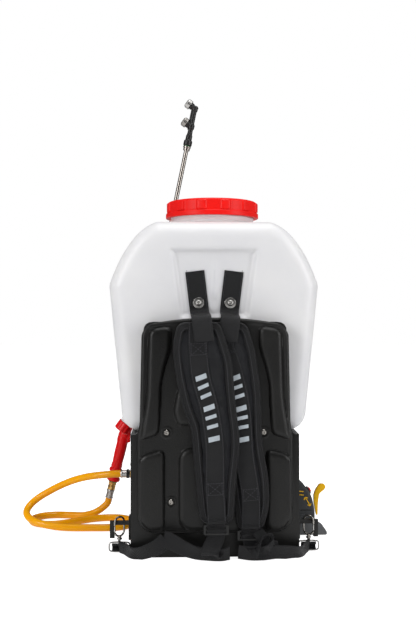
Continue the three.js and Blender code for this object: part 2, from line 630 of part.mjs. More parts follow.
[["left", -1, LEFT_PAD, LEFT_PAD_Y, LEFT_SLIDER, LEFT_FALL],
  ["right", 1, RIGHT_PAD, RIGHT_PAD_Y, RIGHT_SLIDER, RIGHT_FALL],
].forEach(([name, side, corners, back, slider, fall]) => {
  const sided = (made) => (side > 0 ? closed(made) : mirrored(made));
  add(`hook_ear_${name}`, sided(ear()), BLACK_PLASTIC);
  add(`snap_hook_${name}`, sided(snapHook()), DARK_METAL);
  add(`hook_gate_${name}`, sided(hookGate()), STEEL);
  add(`strap_ring_${name}`, sided(strapRing()), STEEL);
  add(`strap_screw_${name}`, strapScrew(side), STEEL);
  add(`top_webbing_${name}`, topWebbing(side, back), NYLON);
  add(`shoulder_pad_${name}`, pad(corners, back), NYLON);
  add(`slider_buckle_${name}`, sliderBuckle(slider[0], slider[1], back - PAD / 2), BLACK_PLASTIC);
  add(`lower_webbing_${name}`, swept(fall, band(), 16), NYLON);
});

// ---------------------------------------------------------------- engine and pump
const CASE_FRONT_Y = 8;
const CASE_REAR_Y = 62;
const CASE_R = 34;
const DECK_Z = SHAFT_Z + CASE_R;
const CYLINDER_Y = (CASE_FRONT_Y + CASE_REAR_Y) / 2;

function crankcase() {
  const drum = turned(
    [[0, 0], [CASE_R, 0], [CASE_R, CASE_REAR_Y - CASE_FRONT_Y], [0, CASE_REAR_Y - CASE_FRONT_Y]],
    at(SHAFT_X, CASE_FRONT_Y, SHAFT_Z), at(SHAFT_X, CASE_REAR_Y, SHAFT_Z), 32);
  const foot = box(SHAFT_X - 34, SHAFT_X + 34, CASE_FRONT_Y + 3, CASE_REAR_Y - 3, BED_Z, SHAFT_Z - 18);
  const deck = box(
    SHAFT_X - 26, SHAFT_X + 26, CASE_FRONT_Y + 2, CASE_REAR_Y - 2, DECK_Z - 16, DECK_Z);
  return join(drum, foot, deck);
}
add("engine_crankcase", crankcase(), ALUMINIUM);

const BARREL = 66; // height of the cylinder above the deck
function cylinder() {
  const foot = DECK_Z + GAP;
  const barrel = upright(
    [[0, foot], [BORE_R, foot], [BORE_R, foot + BARREL], [0, foot + BARREL]], SHAFT_X, CYLINDER_Y, 0, 28);
  const flange = box(SHAFT_X - 24, SHAFT_X + 24, CYLINDER_Y - 23, CYLINDER_Y + 23, foot, foot + 5);
  const fins = Array.from({ length: FIN_COUNT }, (_, i) => {
    const z = foot + 14 + i * 11;
    return box(
      SHAFT_X - FIN_HALF, SHAFT_X + FIN_HALF, CYLINDER_Y - 25, CYLINDER_Y + 25, z, z + 2.6);
  });
  return join(barrel, flange, ...fins);
}
add("engine_cylinder", cylinder(), ALUMINIUM);

const PLUG_Z = DECK_Z + BARREL - 6;
function plugCap() {
  const root = at(SHAFT_X, CYLINDER_Y + 25 + GAP, PLUG_Z);
  return turned(
    [[0, 0], [5, 0], [5, 6], [8, 7], [8, 22], [5, 27], [0, 27]], root, along(root, at(SHAFT_X, 200, PLUG_Z), 1), 16);
}
add("spark_plug_cap", plugCap(), RUBBER);

// The recoil starter's cover is a cup over the engine's rear, with the rope's reel inside.
const FAN_FRONT_Y = CASE_REAR_Y + GAP;
const FAN_REAR_Y = FAN_FRONT_Y + FAN_DEPTH;
const FAN_WALL = 3;
const REEL_R = 42;
const HUB_R = 10;
const ROPE_Y = FAN_FRONT_Y + 12;
const ROPE_Z = SHAFT_Z + REEL_R + 1.8;
function fanHousing() {
  const inner = FAN_R - FAN_WALL;
  const depth = FAN_DEPTH - FAN_WALL;
  const cup = turned(
    [[0, depth], [inner, depth], [inner, 0], [FAN_R, 0], [FAN_R, FAN_DEPTH - 5], [FAN_R - 7, FAN_DEPTH], [0, FAN_DEPTH]],
    at(SHAFT_X, FAN_FRONT_Y, SHAFT_Z), at(SHAFT_X, FAN_REAR_Y, SHAFT_Z), 40);
  const ropeHole = rod(
    at(SHAFT_X + 20, ROPE_Y, ROPE_Z), at(SHAFT_X + FAN_R + 5, ROPE_Y, ROPE_Z), 3, 3, 12);
  return cut(cup, ropeHole);
}
add("fan_housing", fanHousing(), RED_PLASTIC);

function reel() {
  const front = ROPE_Y - 6;
  return turned(
    [[0, 0], [REEL_R, 0], [REEL_R, 12], [HUB_R, 12], [HUB_R, 15], [0, 15]],
    at(SHAFT_X, front, SHAFT_Z), at(SHAFT_X, front + 1, SHAFT_Z), 32);
}
add("starter_reel", reel(), BLACK_PLASTIC);

function starterGrip() {
  const exit = SHAFT_X + FAN_R - 12;
  const stem = rod(at(exit + 6, ROPE_Y, ROPE_Z), at(exit + 17, ROPE_Y, ROPE_Z), 3.5, 5.5, 14);
  const bar = rod(at(exit + 21, ROPE_Y - 16, ROPE_Z), at(exit + 21, ROPE_Y + 16, ROPE_Z), 6, 6, 16);
  const rope = rod(at(SHAFT_X + 8, ROPE_Y, ROPE_Z), at(exit + 8, ROPE_Y, ROPE_Z), 1.5, 1.5, 8);
  return join(stem, bar, rope);
}
add("starter_grip", starterGrip(), BLACK_PLASTIC);

// The air filter's cover looks out past the frame's right side, with the stop button and the choke lever.
const COVER_FRONT_Y = -28;
const COVER_REAR_Y = 36;
const BUTTON = at(COVER_X + 61, 0, 82); // where the stop button leaves the dome
const BUTTON_R = 5;
const BUTTON_OUT = at(0.87, 0, 0.49).normalize();
function filterCover() {
  const dome = facing(
    outline([
      [COVER_X, 29], [COVER_X + 68, 29, 7], [COVER_X + 68.5, 50, 10], [COVER_X + 62, 80, 22],
      [COVER_X + 46, 99, 18], [COVER_X, 99],
    ]), COVER_FRONT_Y, COVER_REAR_Y, { bevel: 4, segments: 2 });
  const socket = rod(
    BUTTON.clone().addScaledVector(BUTTON_OUT, -9), BUTTON.clone().addScaledVector(BUTTON_OUT, 20),
    BUTTON_R + 0.5, BUTTON_R + 0.5, 16);
  return cut(dome, socket);
}
add("air_filter_cover", filterCover(), DARK_PLASTIC);
add("stop_button", turned(
  [[0, -5.5], [BUTTON_R, -5.5], [BUTTON_R, 1], [BUTTON_R - 1.5, 3], [0, 3.4]],
  BUTTON, BUTTON.clone().add(BUTTON_OUT), 16), RED_PLASTIC);

function chokeLever() {
  const blade = facing(
    outline([
      [74, 37.4, 2], [70, 59, 8], [69.3, 71, 8], [72, 81, 4], [80.4, 93, 3], [89.6, 92.5, 3],
      [90.8, 87, 2], [88, 82.5, 3], [79.4, 76.5, 5], [77, 59, 8], [76.6, 38, 2],
    ]), -5, 5);
  return closed(blade.translate(COVER_X, 0, 0));
}
add("choke_lever", chokeLever(), YELLOW_PLASTIC);

function carburettor() {
  const body = box(SHAFT_X + CASE_R + 6, COVER_X - 6, 2, 30, SHAFT_Z - 14, SHAFT_Z + 20);
  const bowlX = COVER_X - 18;
  const bowl = rod(at(bowlX, 16, SHAFT_Z - 24), at(bowlX, 16, SHAFT_Z - 10), 11, 11, 20);
  const duct = rod(at(SHAFT_X + CASE_R + 1, 16, SHAFT_Z), at(COVER_X - GAP, 16, SHAFT_Z), 12, 12, 20);
  return join(body, bowl, duct);
}
add("carburettor", carburettor(), ALUMINIUM);

function muffler() {
  const back = SHAFT_X - FIN_HALF - GAP;
  const can = facing(
    outline([[back - 50, 116, 10], [back - 6, 116, 10], [back - 6, 164, 10], [back - 50, 164, 10]]),
    CASE_FRONT_Y, CASE_REAR_Y, { bevel: 5, segments: 2 });
  const port = box(back - 8, back, CYLINDER_Y - 12, CYLINDER_Y + 12, 124, 148);
  const tail = rod(at(back - 28, CASE_REAR_Y - 2, 132), at(back - 28, CASE_REAR_Y + 14, 128), 6, 6, 14);
  return join(can, port, tail);
}
add("muffler", muffler(), DARK_METAL);

const PUMP_TOP_Z = 94;
function clutchHousing() {
  const left = PUMP_X + PUMP_HALF + GAP;
  return facing(
    outline([
      [left, 30, 6], [SHAFT_X + 20, 30, 14], [SHAFT_X + 26, SHAFT_Z + 8, 14], [SHAFT_X - 8, SHAFT_Z + 26, 10], [left, 84, 6],
    ]), -22, CASE_FRONT_Y - GAP, { bevel: 3, segments: 1 });
}
add("clutch_housing", closed(clutchHousing()), ALUMINIUM);

const HEAD_TOP_Z = OUTLET.z + 15;
const INLET_Y = 14;
function pumpBody() {
  const left = PUMP_X - PUMP_HALF;
  const block = facing(
    outline([
      [left, BED_Z, 7], [PUMP_X + PUMP_HALF, BED_Z, 7], [PUMP_X + PUMP_HALF, PUMP_TOP_Z, 12], [left, PUMP_TOP_Z, 12],
    ]), -58, 74, { bevel: 4, segments: 1 });
  const head = box(left, left + 32, OUTLET.y - 15, OUTLET.y + 14, PUMP_TOP_Z - 10, HEAD_TOP_Z);
  const inlet = rod(at(PUMP_X, INLET_Y, PUMP_TOP_Z - 4), at(PUMP_X, INLET_Y, PUMP_TOP_Z + 14), 10, 9, 20);
  return join(block, head, inlet);
}
add("pump_body", pumpBody(), ALUMINIUM);

const KNOB_X = PUMP_X - PUMP_HALF + 16;
function pressureKnob() {
  const profile = [[0, 0], [5, 0], [5, 4], [12, 4], [13, 6], [13, 18], [11, 20], [0, 20]];
  const body = upright(profile, KNOB_X, OUTLET.y, HEAD_TOP_Z + GAP, 20);
  const ribs = Array.from({ length: 6 }, (_, i) => {
    const rib = box(11, 14.5, -2, 2, 6, 17).rotateZ((i * Math.PI) / 3);
    return rib.translate(KNOB_X, OUTLET.y, HEAD_TOP_Z + GAP);
  });
  return join(body, ...ribs);
}
add("pressure_knob", pressureKnob(), RED_PLASTIC);

const FUEL_FRONT_Y = 80;
const FUEL_REAR_Y = FLOOR_REAR_Y - 2;
const FUEL_TOP_Z = 68;
function fuelTank() {
  const left = PUMP_X - PUMP_HALF;
  return closed(facing(
    outline([[left, BED_Z, 8], [-12, BED_Z, 8], [-12, FUEL_TOP_Z, 10], [left, FUEL_TOP_Z, 10]]),
    FUEL_FRONT_Y, FUEL_REAR_Y, { bevel: 6, segments: 2 }));
}
const FUEL_X = PUMP_X - 14;
const FUEL_Y = (FUEL_FRONT_Y + FUEL_REAR_Y) / 2;
add("fuel_tank", fuelTank(), TANK_PLASTIC);
add("fuel_cap", upright(
  [[0, 0], [15, 0], [15, 9], [13, 11], [0, 11]], FUEL_X, FUEL_Y, FUEL_TOP_Z + GAP, 18), BLACK_PLASTIC);

// The spigot under the tank and the hose that feeds the pump.
const SPIGOT_FOOT_Z = TANK_BOTTOM_Z - 26;
const SUCTION_R = 9;
function spigot() {
  const top = TANK_BOTTOM_Z - GAP;
  return upright(
    [[SPIGOT_BORE, top], [SPIGOT_BORE, SPIGOT_FOOT_Z], [8, SPIGOT_FOOT_Z], [8, top - 12], [11, top - 10],
      [14, top - 10], [14, top], [SPIGOT_BORE, top]],
    OUTLET_X, OUTLET_Y, 0, 20);
}
add("outlet_spigot", spigot(), BRASS);

const SUCTION_FOOT_Z = PUMP_TOP_Z + 14 + GAP;
add("suction_hose", swept([
  at(OUTLET_X, OUTLET_Y, SPIGOT_FOOT_Z - GAP), at(OUTLET_X, OUTLET_Y, SPIGOT_FOOT_Z - 12),
  at(OUTLET_X, OUTLET_Y - 14, SPIGOT_FOOT_Z - 28), at(OUTLET_X, (OUTLET_Y + INLET_Y) / 2, SPIGOT_FOOT_Z - 36),
  at(OUTLET_X, INLET_Y + 12, SPIGOT_FOOT_Z - 42), at(OUTLET_X, INLET_Y, SUCTION_FOOT_Z + 8),
  at(OUTLET_X, INLET_Y, SUCTION_FOOT_Z),
], disc(SUCTION_R, 8), 14), BLACK_PLASTIC);

// ---------------------------------------------------------------- delivery fitting, gun and lance
const PUMP_SIDE_X = PUMP_X - PUMP_HALF;
function outletFitting() {
  const root = at(PUMP_SIDE_X - GAP, OUTLET.y, OUTLET.z);
  const length = root.x - OUTLET.x - GAP;
  return turned(
    [[0, 0], [9, 0], [9, 8], [6.5, 9], [6.5, 13], [9, 14], [9, length], [0, length]], root, OUTLET, 6);
}
add("outlet_fitting", outletFitting(), BRASS);

const FERRULE_R = HOSE_R + 1.1;
function ferrule(from, towards) {
  return turned(
    [[0, 0], [FERRULE_R, 0], [FERRULE_R, 5], [FERRULE_R - 1, 6], [FERRULE_R - 1, 10], [FERRULE_R, 11],
      [FERRULE_R, FERRULE], [0, FERRULE]], from, towards, 18);
}
add("hose_ferrule_pump", ferrule(OUTLET, OUTLET.clone().add(at(-1, 0, 0))), STEEL);

const GUN_AXIS = GUN_FOOT.clone().sub(GUN_TOP).normalize();
const LANCE_ROOT = at(-153.3, GUN_TOP.y, 186);
function gunHandle() {
  const length = GUN_TOP.distanceTo(GUN_FOOT);
  const rings = [0, 1, 2].flatMap((i) => {
    const h = length - 25 + i * 9;
    return [[GUN_R - 2.5, h - 1.5], [GUN_R, h], [GUN_R, h + 5], [GUN_R - 2.5, h + 6.5]];
  });
  const sides = 16;
  const grip = turned(
    [[0, 0], [GUN_R - 1, 0], [GUN_R, 10], [GUN_R - 1.5, length - 28], ...rings, [0, length - 0.5]],
    GUN_TOP, GUN_FOOT, sides);
  const head = rod(along(GUN_TOP, GUN_FOOT, 4), LANCE_ROOT, 11.5, 8.5, 20);
  const block = box(-166, -152.5, GUN_TOP.y - 8, GUN_TOP.y + 8, 148, 166);
  return join(grip, head, block);
}
add("gun_handle", gunHandle(), RED_PLASTIC);

function gunTrigger() {
  return closed(facing(
    outline([
      [-149, 167, 2], [-142, 164, 3], [-141, 140, 6], [-148, 104, 3], [-153, 103, 2], [-148, 138, 6], [-149.5, 150, 3],
    ]), GUN_TOP.y - 6, GUN_TOP.y + 6));
}
add("gun_trigger", gunTrigger(), BLACK_PLASTIC);

const FITTING = 16;
const fittingRoot = GUN_FOOT.clone().addScaledVector(GUN_AXIS, GAP);
const fittingEnd = fittingRoot.clone().addScaledVector(GUN_AXIS, FITTING);
add("gun_fitting", turned(
  [[0, 0], [7.5, 0], [7.5, 3], [6.5, 4], [6.5, 7], [8, 8], [8, FITTING], [0, FITTING]],
  fittingRoot, fittingEnd, 12), BRASS);
const ferruleRoot = fittingEnd.clone().addScaledVector(GUN_AXIS, GAP);
add("hose_ferrule_gun", ferrule(ferruleRoot, ferruleRoot.clone().add(GUN_AXIS)), STEEL);

const LANCE_SEAT = 2.2; // the head's face is not square to the tube
add("lance_tube", closed(rod(along(LANCE_ROOT, LANCE_TOP, LANCE_SEAT), LANCE_TOP, LANCE_R, LANCE_R, 12)), STEEL);

const CLIP_Z = 400;
function lanceClip() {
  const share = (CLIP_Z - LANCE_ROOT.z) / (LANCE_TOP.z - LANCE_ROOT.z);
  const x = LANCE_ROOT.x + share * (LANCE_TOP.x - LANCE_ROOT.x);
  const foot = TANK_REAR_Y + GAP;
  const y = LANCE_TOP.y;
  const block = box(x - 10, x + 10, foot, y + 7, CLIP_Z - 9, CLIP_Z + 9);
  const channel = rod(
    along(LANCE_ROOT, LANCE_TOP, 20), along(LANCE_TOP, LANCE_ROOT, 20), LANCE_R + GAP, LANCE_R + GAP, 16);
  const mouth = box(x - 3.2, x + 3.2, y, y + 10, CLIP_Z - 12, CLIP_Z + 12);
  return cut(block, channel, mouth);
}
add("lance_clip", lanceClip(), BLACK_PLASTIC);

// The twin nozzle turns on the lance's end. Its two heads point up and to the left.
const LANCE_AXIS = LANCE_TOP.clone().sub(LANCE_ROOT).normalize();
const HEAD_AXIS = at(-0.8, 0, 0.6);
const stemAt = (distance) => LANCE_TOP.clone().addScaledVector(LANCE_AXIS, distance);
const UPPER_HEAD = stemAt(74);
const LOWER_HEAD = stemAt(38);
const NOZZLE_NECK = 10;
const CAP_LENGTH = 10;
const headEnd = (head, distance) => head.clone().addScaledVector(HEAD_AXIS, distance);
function twinNozzle() {
  const collar = rod(stemAt(GAP), stemAt(12), 8, 8, 6);
  const stem = rod(stemAt(8), stemAt(78), 4.6, 4.6, 14);
  const necks = [UPPER_HEAD, LOWER_HEAD].map((head) => rod(head, headEnd(head, NOZZLE_NECK), 5.5, 6.5, 14));
  return join(collar, stem, ...necks);
}
add("twin_nozzle", twinNozzle(), BLACK_PLASTIC);
function nozzleCap(head) {
  const root = headEnd(head, NOZZLE_NECK + GAP);
  return turned(
    [[0, 0], [NOZZLE_R, 0], [NOZZLE_R, CAP_LENGTH - 2], [NOZZLE_R - 2.5, CAP_LENGTH],
      [2, CAP_LENGTH], [2, CAP_LENGTH - 3], [0, CAP_LENGTH - 3]],
    root, root.clone().add(HEAD_AXIS), 12);
}
add("nozzle_cap_upper", nozzleCap(UPPER_HEAD), STEEL);
add("nozzle_cap_lower", nozzleCap(LOWER_HEAD), STEEL);

// ---------------------------------------------------------------- spray hose
// From the pump it drops to the left, lies on the ground in two loops and rises to the gun.
const HOSE_END = ferruleRoot.clone().addScaledVector(GUN_AXIS, FERRULE + GAP);
const STRAIGHT = 9; // the hose leaves each ferrule in line with it
const HOSE_START = at(OUTLET.x - FERRULE - GAP, OUTLET.y, OUTLET.z);
const HOSE_ROUTE = [
  at(-190, 62, 100.6), at(-210, 68.5, 97.8), at(-232.5, 79, 92.8), at(-257, 91, 84.5), at(-281, 101, 73.5),
  at(-302, 108, 62), at(-321, 111, 50.5), at(-335, 107, 40), at(-342, 97, 31.5), at(-342, 84, 25),
  at(-335, 71, 19.5), at(-322, 60, 15), at(-304, 52, 11.5), at(-282, 47.5, 8.5), at(-256, 45.5, 7),
  at(-222, 45, 6.7), at(-186, 45, 6.7), at(-166, 50.4, 6.7), at(-151.4, 65, 6.7), at(-146, 85, 6.7),
  at(-151.4, 105, 6.7), at(-166, 119.6, 6.7), at(-186, 125, 6.7), at(-214, 120, 6.7), at(-244, 102, 6.7),
  at(-270, 84, 6.7), at(-293, 74, 6.7), at(-314, 77, 6.7), at(-330, 91, 6.7), at(-336, 111, 6.7),
  at(-331, 131, 6.7), at(-317, 146, 6.7), at(-297, 152, 6.7), at(-268, 149, 6.7), at(-242, 144.5, 7.2),
  at(-221, 144, 12.5), at(-206, 144.8, 21.5),
];
add("spray_hose", swept(
  [HOSE_START, HOSE_START.clone().add(at(-STRAIGHT, 0, 0)), ...HOSE_ROUTE,
    HOSE_END.clone().addScaledVector(GUN_AXIS, STRAIGHT), HOSE_END],
  disc(HOSE_R, HOSE_SIDES), HOSE_STEPS), HOSE_PLASTIC);

export default group;
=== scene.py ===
# %% [markdown]
# # A motorised backpack sprayer
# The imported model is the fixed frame: it says where every part is and what moves. This lesson gives each
# part its real surface. It works in metres, with +X to the right as the wearer's back sees the sprayer,
# +Y away from the back and +Z up. Sizes are written in millimetres and scaled once, by `at` and `mm`.

# %% Load the frame
import math

import bmesh
import bpy
import numpy as np
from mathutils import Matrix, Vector
from mathutils.noise import noise as noise_at


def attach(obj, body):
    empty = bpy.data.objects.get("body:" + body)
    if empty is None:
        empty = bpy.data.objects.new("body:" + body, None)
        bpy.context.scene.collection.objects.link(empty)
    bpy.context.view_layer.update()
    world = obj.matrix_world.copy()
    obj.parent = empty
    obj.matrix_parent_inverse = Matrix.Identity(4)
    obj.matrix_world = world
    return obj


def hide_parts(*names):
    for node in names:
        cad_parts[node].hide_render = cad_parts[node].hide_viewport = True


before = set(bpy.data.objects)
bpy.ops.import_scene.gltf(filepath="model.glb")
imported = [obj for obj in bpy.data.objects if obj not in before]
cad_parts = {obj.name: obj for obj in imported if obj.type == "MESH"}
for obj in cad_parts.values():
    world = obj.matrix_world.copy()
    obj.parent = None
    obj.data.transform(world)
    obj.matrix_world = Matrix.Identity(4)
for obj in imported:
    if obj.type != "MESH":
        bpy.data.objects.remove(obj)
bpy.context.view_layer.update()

mm = 0.001


def at(x, y, z):
    return Vector((x, y, z)) * mm


# %% [markdown]
# ## Camera, floor and light
# The sprayer stands on a white sweep under soft studio light. The camera is level, at the height of the
# tank's middle and a little to the left, so the back frame's sides stay straight. The world and the floor look
# white to the camera, yet light the object only weakly, and the world is darker still in reflections, so that
# black plastic stays black. Three big area lights draw the soft highlights that show the mouldings.

# %% Camera
CAMERA_DISTANCE = 1.603
CAMERA_HEIGHT = 0.400
CAMERA_TURN = math.radians(2.0)
CAMERA_SIDE = 0.0071

camera_data = bpy.data.cameras.new("camera")
camera_data.lens = 51.9
camera_data.sensor_width = 36
camera = bpy.data.objects.new("camera", camera_data)
bpy.context.scene.collection.objects.link(camera)
forward = Vector((math.sin(CAMERA_TURN), math.cos(CAMERA_TURN), 0))
rightward = Vector((math.cos(CAMERA_TURN), -math.sin(CAMERA_TURN), 0))
camera.location = -forward * CAMERA_DISTANCE - rightward * CAMERA_SIDE + Vector((0, 0, CAMERA_HEIGHT))
camera.rotation_euler = (math.pi / 2, 0, -CAMERA_TURN)
bpy.context.scene.camera = camera
print("camera at", [round(v, 3) for v in camera.location])

# %% Floor and lights
WORLD_SEEN, WORLD_LIGHTING = 1.0, 0.26
WORLD_CUT_IN_REFLECTIONS = 0.16
FLOOR_GLOW, FLOOR_GLOW_SEEN = 0.1, 0.75
floor_mesh = bpy.data.meshes.new("floor")
floor_mesh.from_pydata([(-9, -9, 0), (9, -9, 0), (9, 9, 0), (-9, 9, 0)], [], [(0, 1, 2, 3)])
floor = bpy.data.objects.new("floor", floor_mesh)
floor.location.z = -0.0004
bpy.context.scene.collection.objects.link(floor)

world = bpy.data.worlds.new("studio")
world.use_nodes = True
world_tree = world.node_tree
backdrop = world_tree.nodes["Background"]
backdrop.inputs["Color"].default_value = (1, 1, 1, 1)
seen_or_lighting = world_tree.nodes.new("ShaderNodeMix")
seen_or_lighting.inputs["A"].default_value = WORLD_LIGHTING
seen_or_lighting.inputs["B"].default_value = WORLD_SEEN
light_path = world_tree.nodes.new("ShaderNodeLightPath")
world_tree.links.new(light_path.outputs["Is Camera Ray"], seen_or_lighting.inputs["Factor"])
unmirrored = world_tree.nodes.new("ShaderNodeMath")
unmirrored.operation = "MULTIPLY_ADD"
unmirrored.inputs[1].default_value = -WORLD_CUT_IN_REFLECTIONS
world_tree.links.new(light_path.outputs["Is Glossy Ray"], unmirrored.inputs[0])
world_tree.links.new(seen_or_lighting.outputs["Result"], unmirrored.inputs[2])
world_tree.links.new(unmirrored.outputs[0], backdrop.inputs["Strength"])
bpy.context.scene.world = world
bpy.context.scene.view_settings.view_transform = "Standard"


def area_light(name, place, target, size, power):
    data = bpy.data.lights.new(name, "AREA")
    data.shape = "RECTANGLE"
    data.size, data.size_y = size
    data.energy = power
    light = bpy.data.objects.new(name, data)
    light.location = place
    light.rotation_euler = (Vector(target) - Vector(place)).to_track_quat("-Z", "Y").to_euler()
    bpy.context.scene.collection.objects.link(light)


area_light("left_softbox", (-1.7, -1.5, 1.2), (0, 0, 0.35), (0.9, 1.6), 27)
area_light("right_softbox", (1.9, -1.1, 1.0), (0, 0, 0.3), (0.7, 1.6), 20)
area_light("top_softbox", (0.2, -0.3, 2.2), (0, 0, 0.3), (1.4, 1.4), 21)

# %% [markdown]
# ## Shared shader groups
# Four effects come back on many surfaces: the fine grain of a moulding, slow colour drift, the weave of
# nylon, and turning marks on metal. Each is a node group that puts out a height, a mask or a colour. The
# shader itself always stays in the material, where its own sockets hold the constants.


# %% Node group helpers
def new_group(name, inputs, outputs):
    tree = bpy.data.node_groups.new(name, "ShaderNodeTree")
    for label, kind, value in inputs:
        socket = tree.interface.new_socket(label, in_out="INPUT", socket_type=kind)
        if value is not None:
            socket.default_value = value
    for label, kind in outputs:
        tree.interface.new_socket(label, in_out="OUTPUT", socket_type=kind)
    return tree, tree.nodes.new("NodeGroupInput"), tree.nodes.new("NodeGroupOutput")


def math_node(tree, operation, a, b=None, clamp=False):
    node = tree.nodes.new("ShaderNodeMath")
    node.operation = operation
    node.use_clamp = clamp
    for socket, value in zip(node.inputs, (a, b)):
        if value is None:
            continue
        if isinstance(value, (int, float)):
            socket.default_value = value
        else:
            tree.links.new(value, socket)
    return node.outputs[0]


def noise(tree, vector, scale, detail=3.0):
    node = tree.nodes.new("ShaderNodeTexNoise")
    node.inputs["Detail"].default_value = detail
    tree.links.new(vector, node.inputs["Vector"])
    if isinstance(scale, (int, float)):
        node.inputs["Scale"].default_value = scale
    else:
        tree.links.new(scale, node.inputs["Scale"])
    return node.outputs["Fac"]


# %% Grain of a moulding
def make_grain_group():
    tree, given, result = new_group(
        "moulded_grain",
        [("Vector", "NodeSocketVector", None), ("Scale", "NodeSocketFloat", 900.0)],
        [("Height", "NodeSocketFloat")],
    )
    cells = tree.nodes.new("ShaderNodeTexVoronoi")
    tree.links.new(given.outputs["Vector"], cells.inputs["Vector"])
    tree.links.new(given.outputs["Scale"], cells.inputs["Scale"])
    fine = noise(tree, given.outputs["Vector"], given.outputs["Scale"], 2.0)
    height = math_node(tree, "ADD", math_node(tree, "MULTIPLY", cells.outputs["Distance"], 0.7), fine)
    tree.links.new(height, result.inputs["Height"])
    return tree


# %% Slow drift of colour
def make_drift_group():
    tree, given, result = new_group(
        "colour_drift",
        [("Vector", "NodeSocketVector", None), ("Colour", "NodeSocketColor", (0.5, 0.5, 0.5, 1)),
         ("Second", "NodeSocketColor", (0.5, 0.5, 0.5, 1)), ("Scale", "NodeSocketFloat", 14.0),
         ("Amount", "NodeSocketFloat", 0.5)],
        [("Colour", "NodeSocketColor"), ("Mask", "NodeSocketFloat")],
    )
    drift = noise(tree, given.outputs["Vector"], given.outputs["Scale"], 5.0)
    spread = tree.nodes.new("ShaderNodeMapRange")
    spread.inputs["From Min"].default_value = 0.35
    spread.inputs["From Max"].default_value = 0.65
    tree.links.new(drift, spread.inputs["Value"])
    share = math_node(tree, "MULTIPLY", spread.outputs["Result"], given.outputs["Amount"], clamp=True)
    mix = tree.nodes.new("ShaderNodeMix")
    mix.data_type = "RGBA"
    tree.links.new(share, mix.inputs["Factor"])
    tree.links.new(given.outputs["Colour"], mix.inputs[6])
    tree.links.new(given.outputs["Second"], mix.inputs[7])
    tree.links.new(mix.outputs[2], result.inputs["Colour"])
    tree.links.new(spread.outputs["Result"], result.inputs["Mask"])
    return tree


# %% Weave of nylon
def make_weave_group():
    tree, given, result = new_group(
        "nylon_weave",
        [("Vector", "NodeSocketVector", None), ("Pitch", "NodeSocketFloat", 0.0016)],
        [("Height", "NodeSocketFloat")],
    )
    split = tree.nodes.new("ShaderNodeSeparateXYZ")
    tree.links.new(given.outputs["Vector"], split.inputs[0])

    def thread(value, shift):
        turns = math_node(tree, "DIVIDE", value, given.outputs["Pitch"])
        return math_node(tree, "SINE", math_node(tree, "ADD", math_node(tree, "MULTIPLY", turns, math.tau), shift))

    across = thread(math_node(tree, "ADD", split.outputs["X"], split.outputs["Y"]), 0.0)
    down = thread(split.outputs["Z"], 0.7)
    weave = math_node(tree, "MULTIPLY", across, down)
    ridge = math_node(tree, "MULTIPLY", math_node(tree, "ABSOLUTE", across), 0.35)
    tree.links.new(math_node(tree, "ADD", weave, ridge), result.inputs["Height"])
    return tree


# %% Turning marks on metal
def make_turning_group():
    tree, given, result = new_group(
        "turning_marks",
        [("Vector", "NodeSocketVector", None), ("Scale", "NodeSocketFloat", 700.0)],
        [("Height", "NodeSocketFloat"), ("Mask", "NodeSocketFloat")],
    )
    stretch = tree.nodes.new("ShaderNodeMapping")
    stretch.inputs["Scale"].default_value = (0.12, 0.12, 1.0)
    tree.links.new(given.outputs["Vector"], stretch.inputs["Vector"])
    marks = noise(tree, stretch.outputs["Vector"], given.outputs["Scale"], 4.0)
    stains = noise(tree, given.outputs["Vector"], 60.0, 6.0)
    tree.links.new(marks, result.inputs["Height"])
    tree.links.new(stains, result.inputs["Mask"])
    return tree


grain_group = make_grain_group()
drift_group = make_drift_group()
weave_group = make_weave_group()
turning_group = make_turning_group()
print("shader groups:", [g.name for g in bpy.data.node_groups])

# %% [markdown]
# ## Materials
# One function lays out the part that all finishes share: object coordinates, colour drift into Base Color
# and a height into a Bump. Each finish then sets its own constants on the Principled shader.


# %% Material maker
def finish_material(name, colour, second, roughness, **options):
    """A material whose colour drifts between two tones, with a group's height as its bump."""
    material = bpy.data.materials.new(name)
    material.use_nodes = True
    tree = material.node_tree
    shader = tree.nodes["Principled BSDF"]
    shader.inputs["Roughness"].default_value = roughness
    shader.inputs["Metallic"].default_value = options.get("metallic", 0.0)
    for socket, value in options.get("shader", {}).items():
        shader.inputs[socket].default_value = value
    place = tree.nodes.new("ShaderNodeTexCoord").outputs["Object"]
    drift = tree.nodes.new("ShaderNodeGroup")
    drift.node_tree = drift_group
    drift.inputs["Colour"].default_value = (*colour, 1)
    drift.inputs["Second"].default_value = (*second, 1)
    drift.inputs["Scale"].default_value = options.get("drift", 14.0)
    drift.inputs["Amount"].default_value = options.get("amount", 0.6)
    tree.links.new(place, drift.inputs["Vector"])
    tree.links.new(drift.outputs["Colour"], shader.inputs["Base Color"])
    if options.get("group"):
        texture = tree.nodes.new("ShaderNodeGroup")
        texture.node_tree = options["group"]
        size = "Pitch" if "Pitch" in texture.inputs else "Scale"
        texture.inputs[size].default_value = options["size"]
        tree.links.new(place, texture.inputs["Vector"])
        bump = tree.nodes.new("ShaderNodeBump")
        bump.inputs["Strength"].default_value = options.get("strength", 0.3)
        bump.inputs["Distance"].default_value = options.get("depth", 0.0003)
        tree.links.new(texture.outputs["Height"], bump.inputs["Height"])
        tree.links.new(bump.outputs["Normal"], shader.inputs["Normal"])
    spread = options.get("rough_spread", 0.1)
    rough = math_node(
        tree, "ADD", math_node(tree, "MULTIPLY", drift.outputs["Mask"], spread), roughness - spread / 2)
    tree.links.new(rough, shader.inputs["Roughness"])
    return material


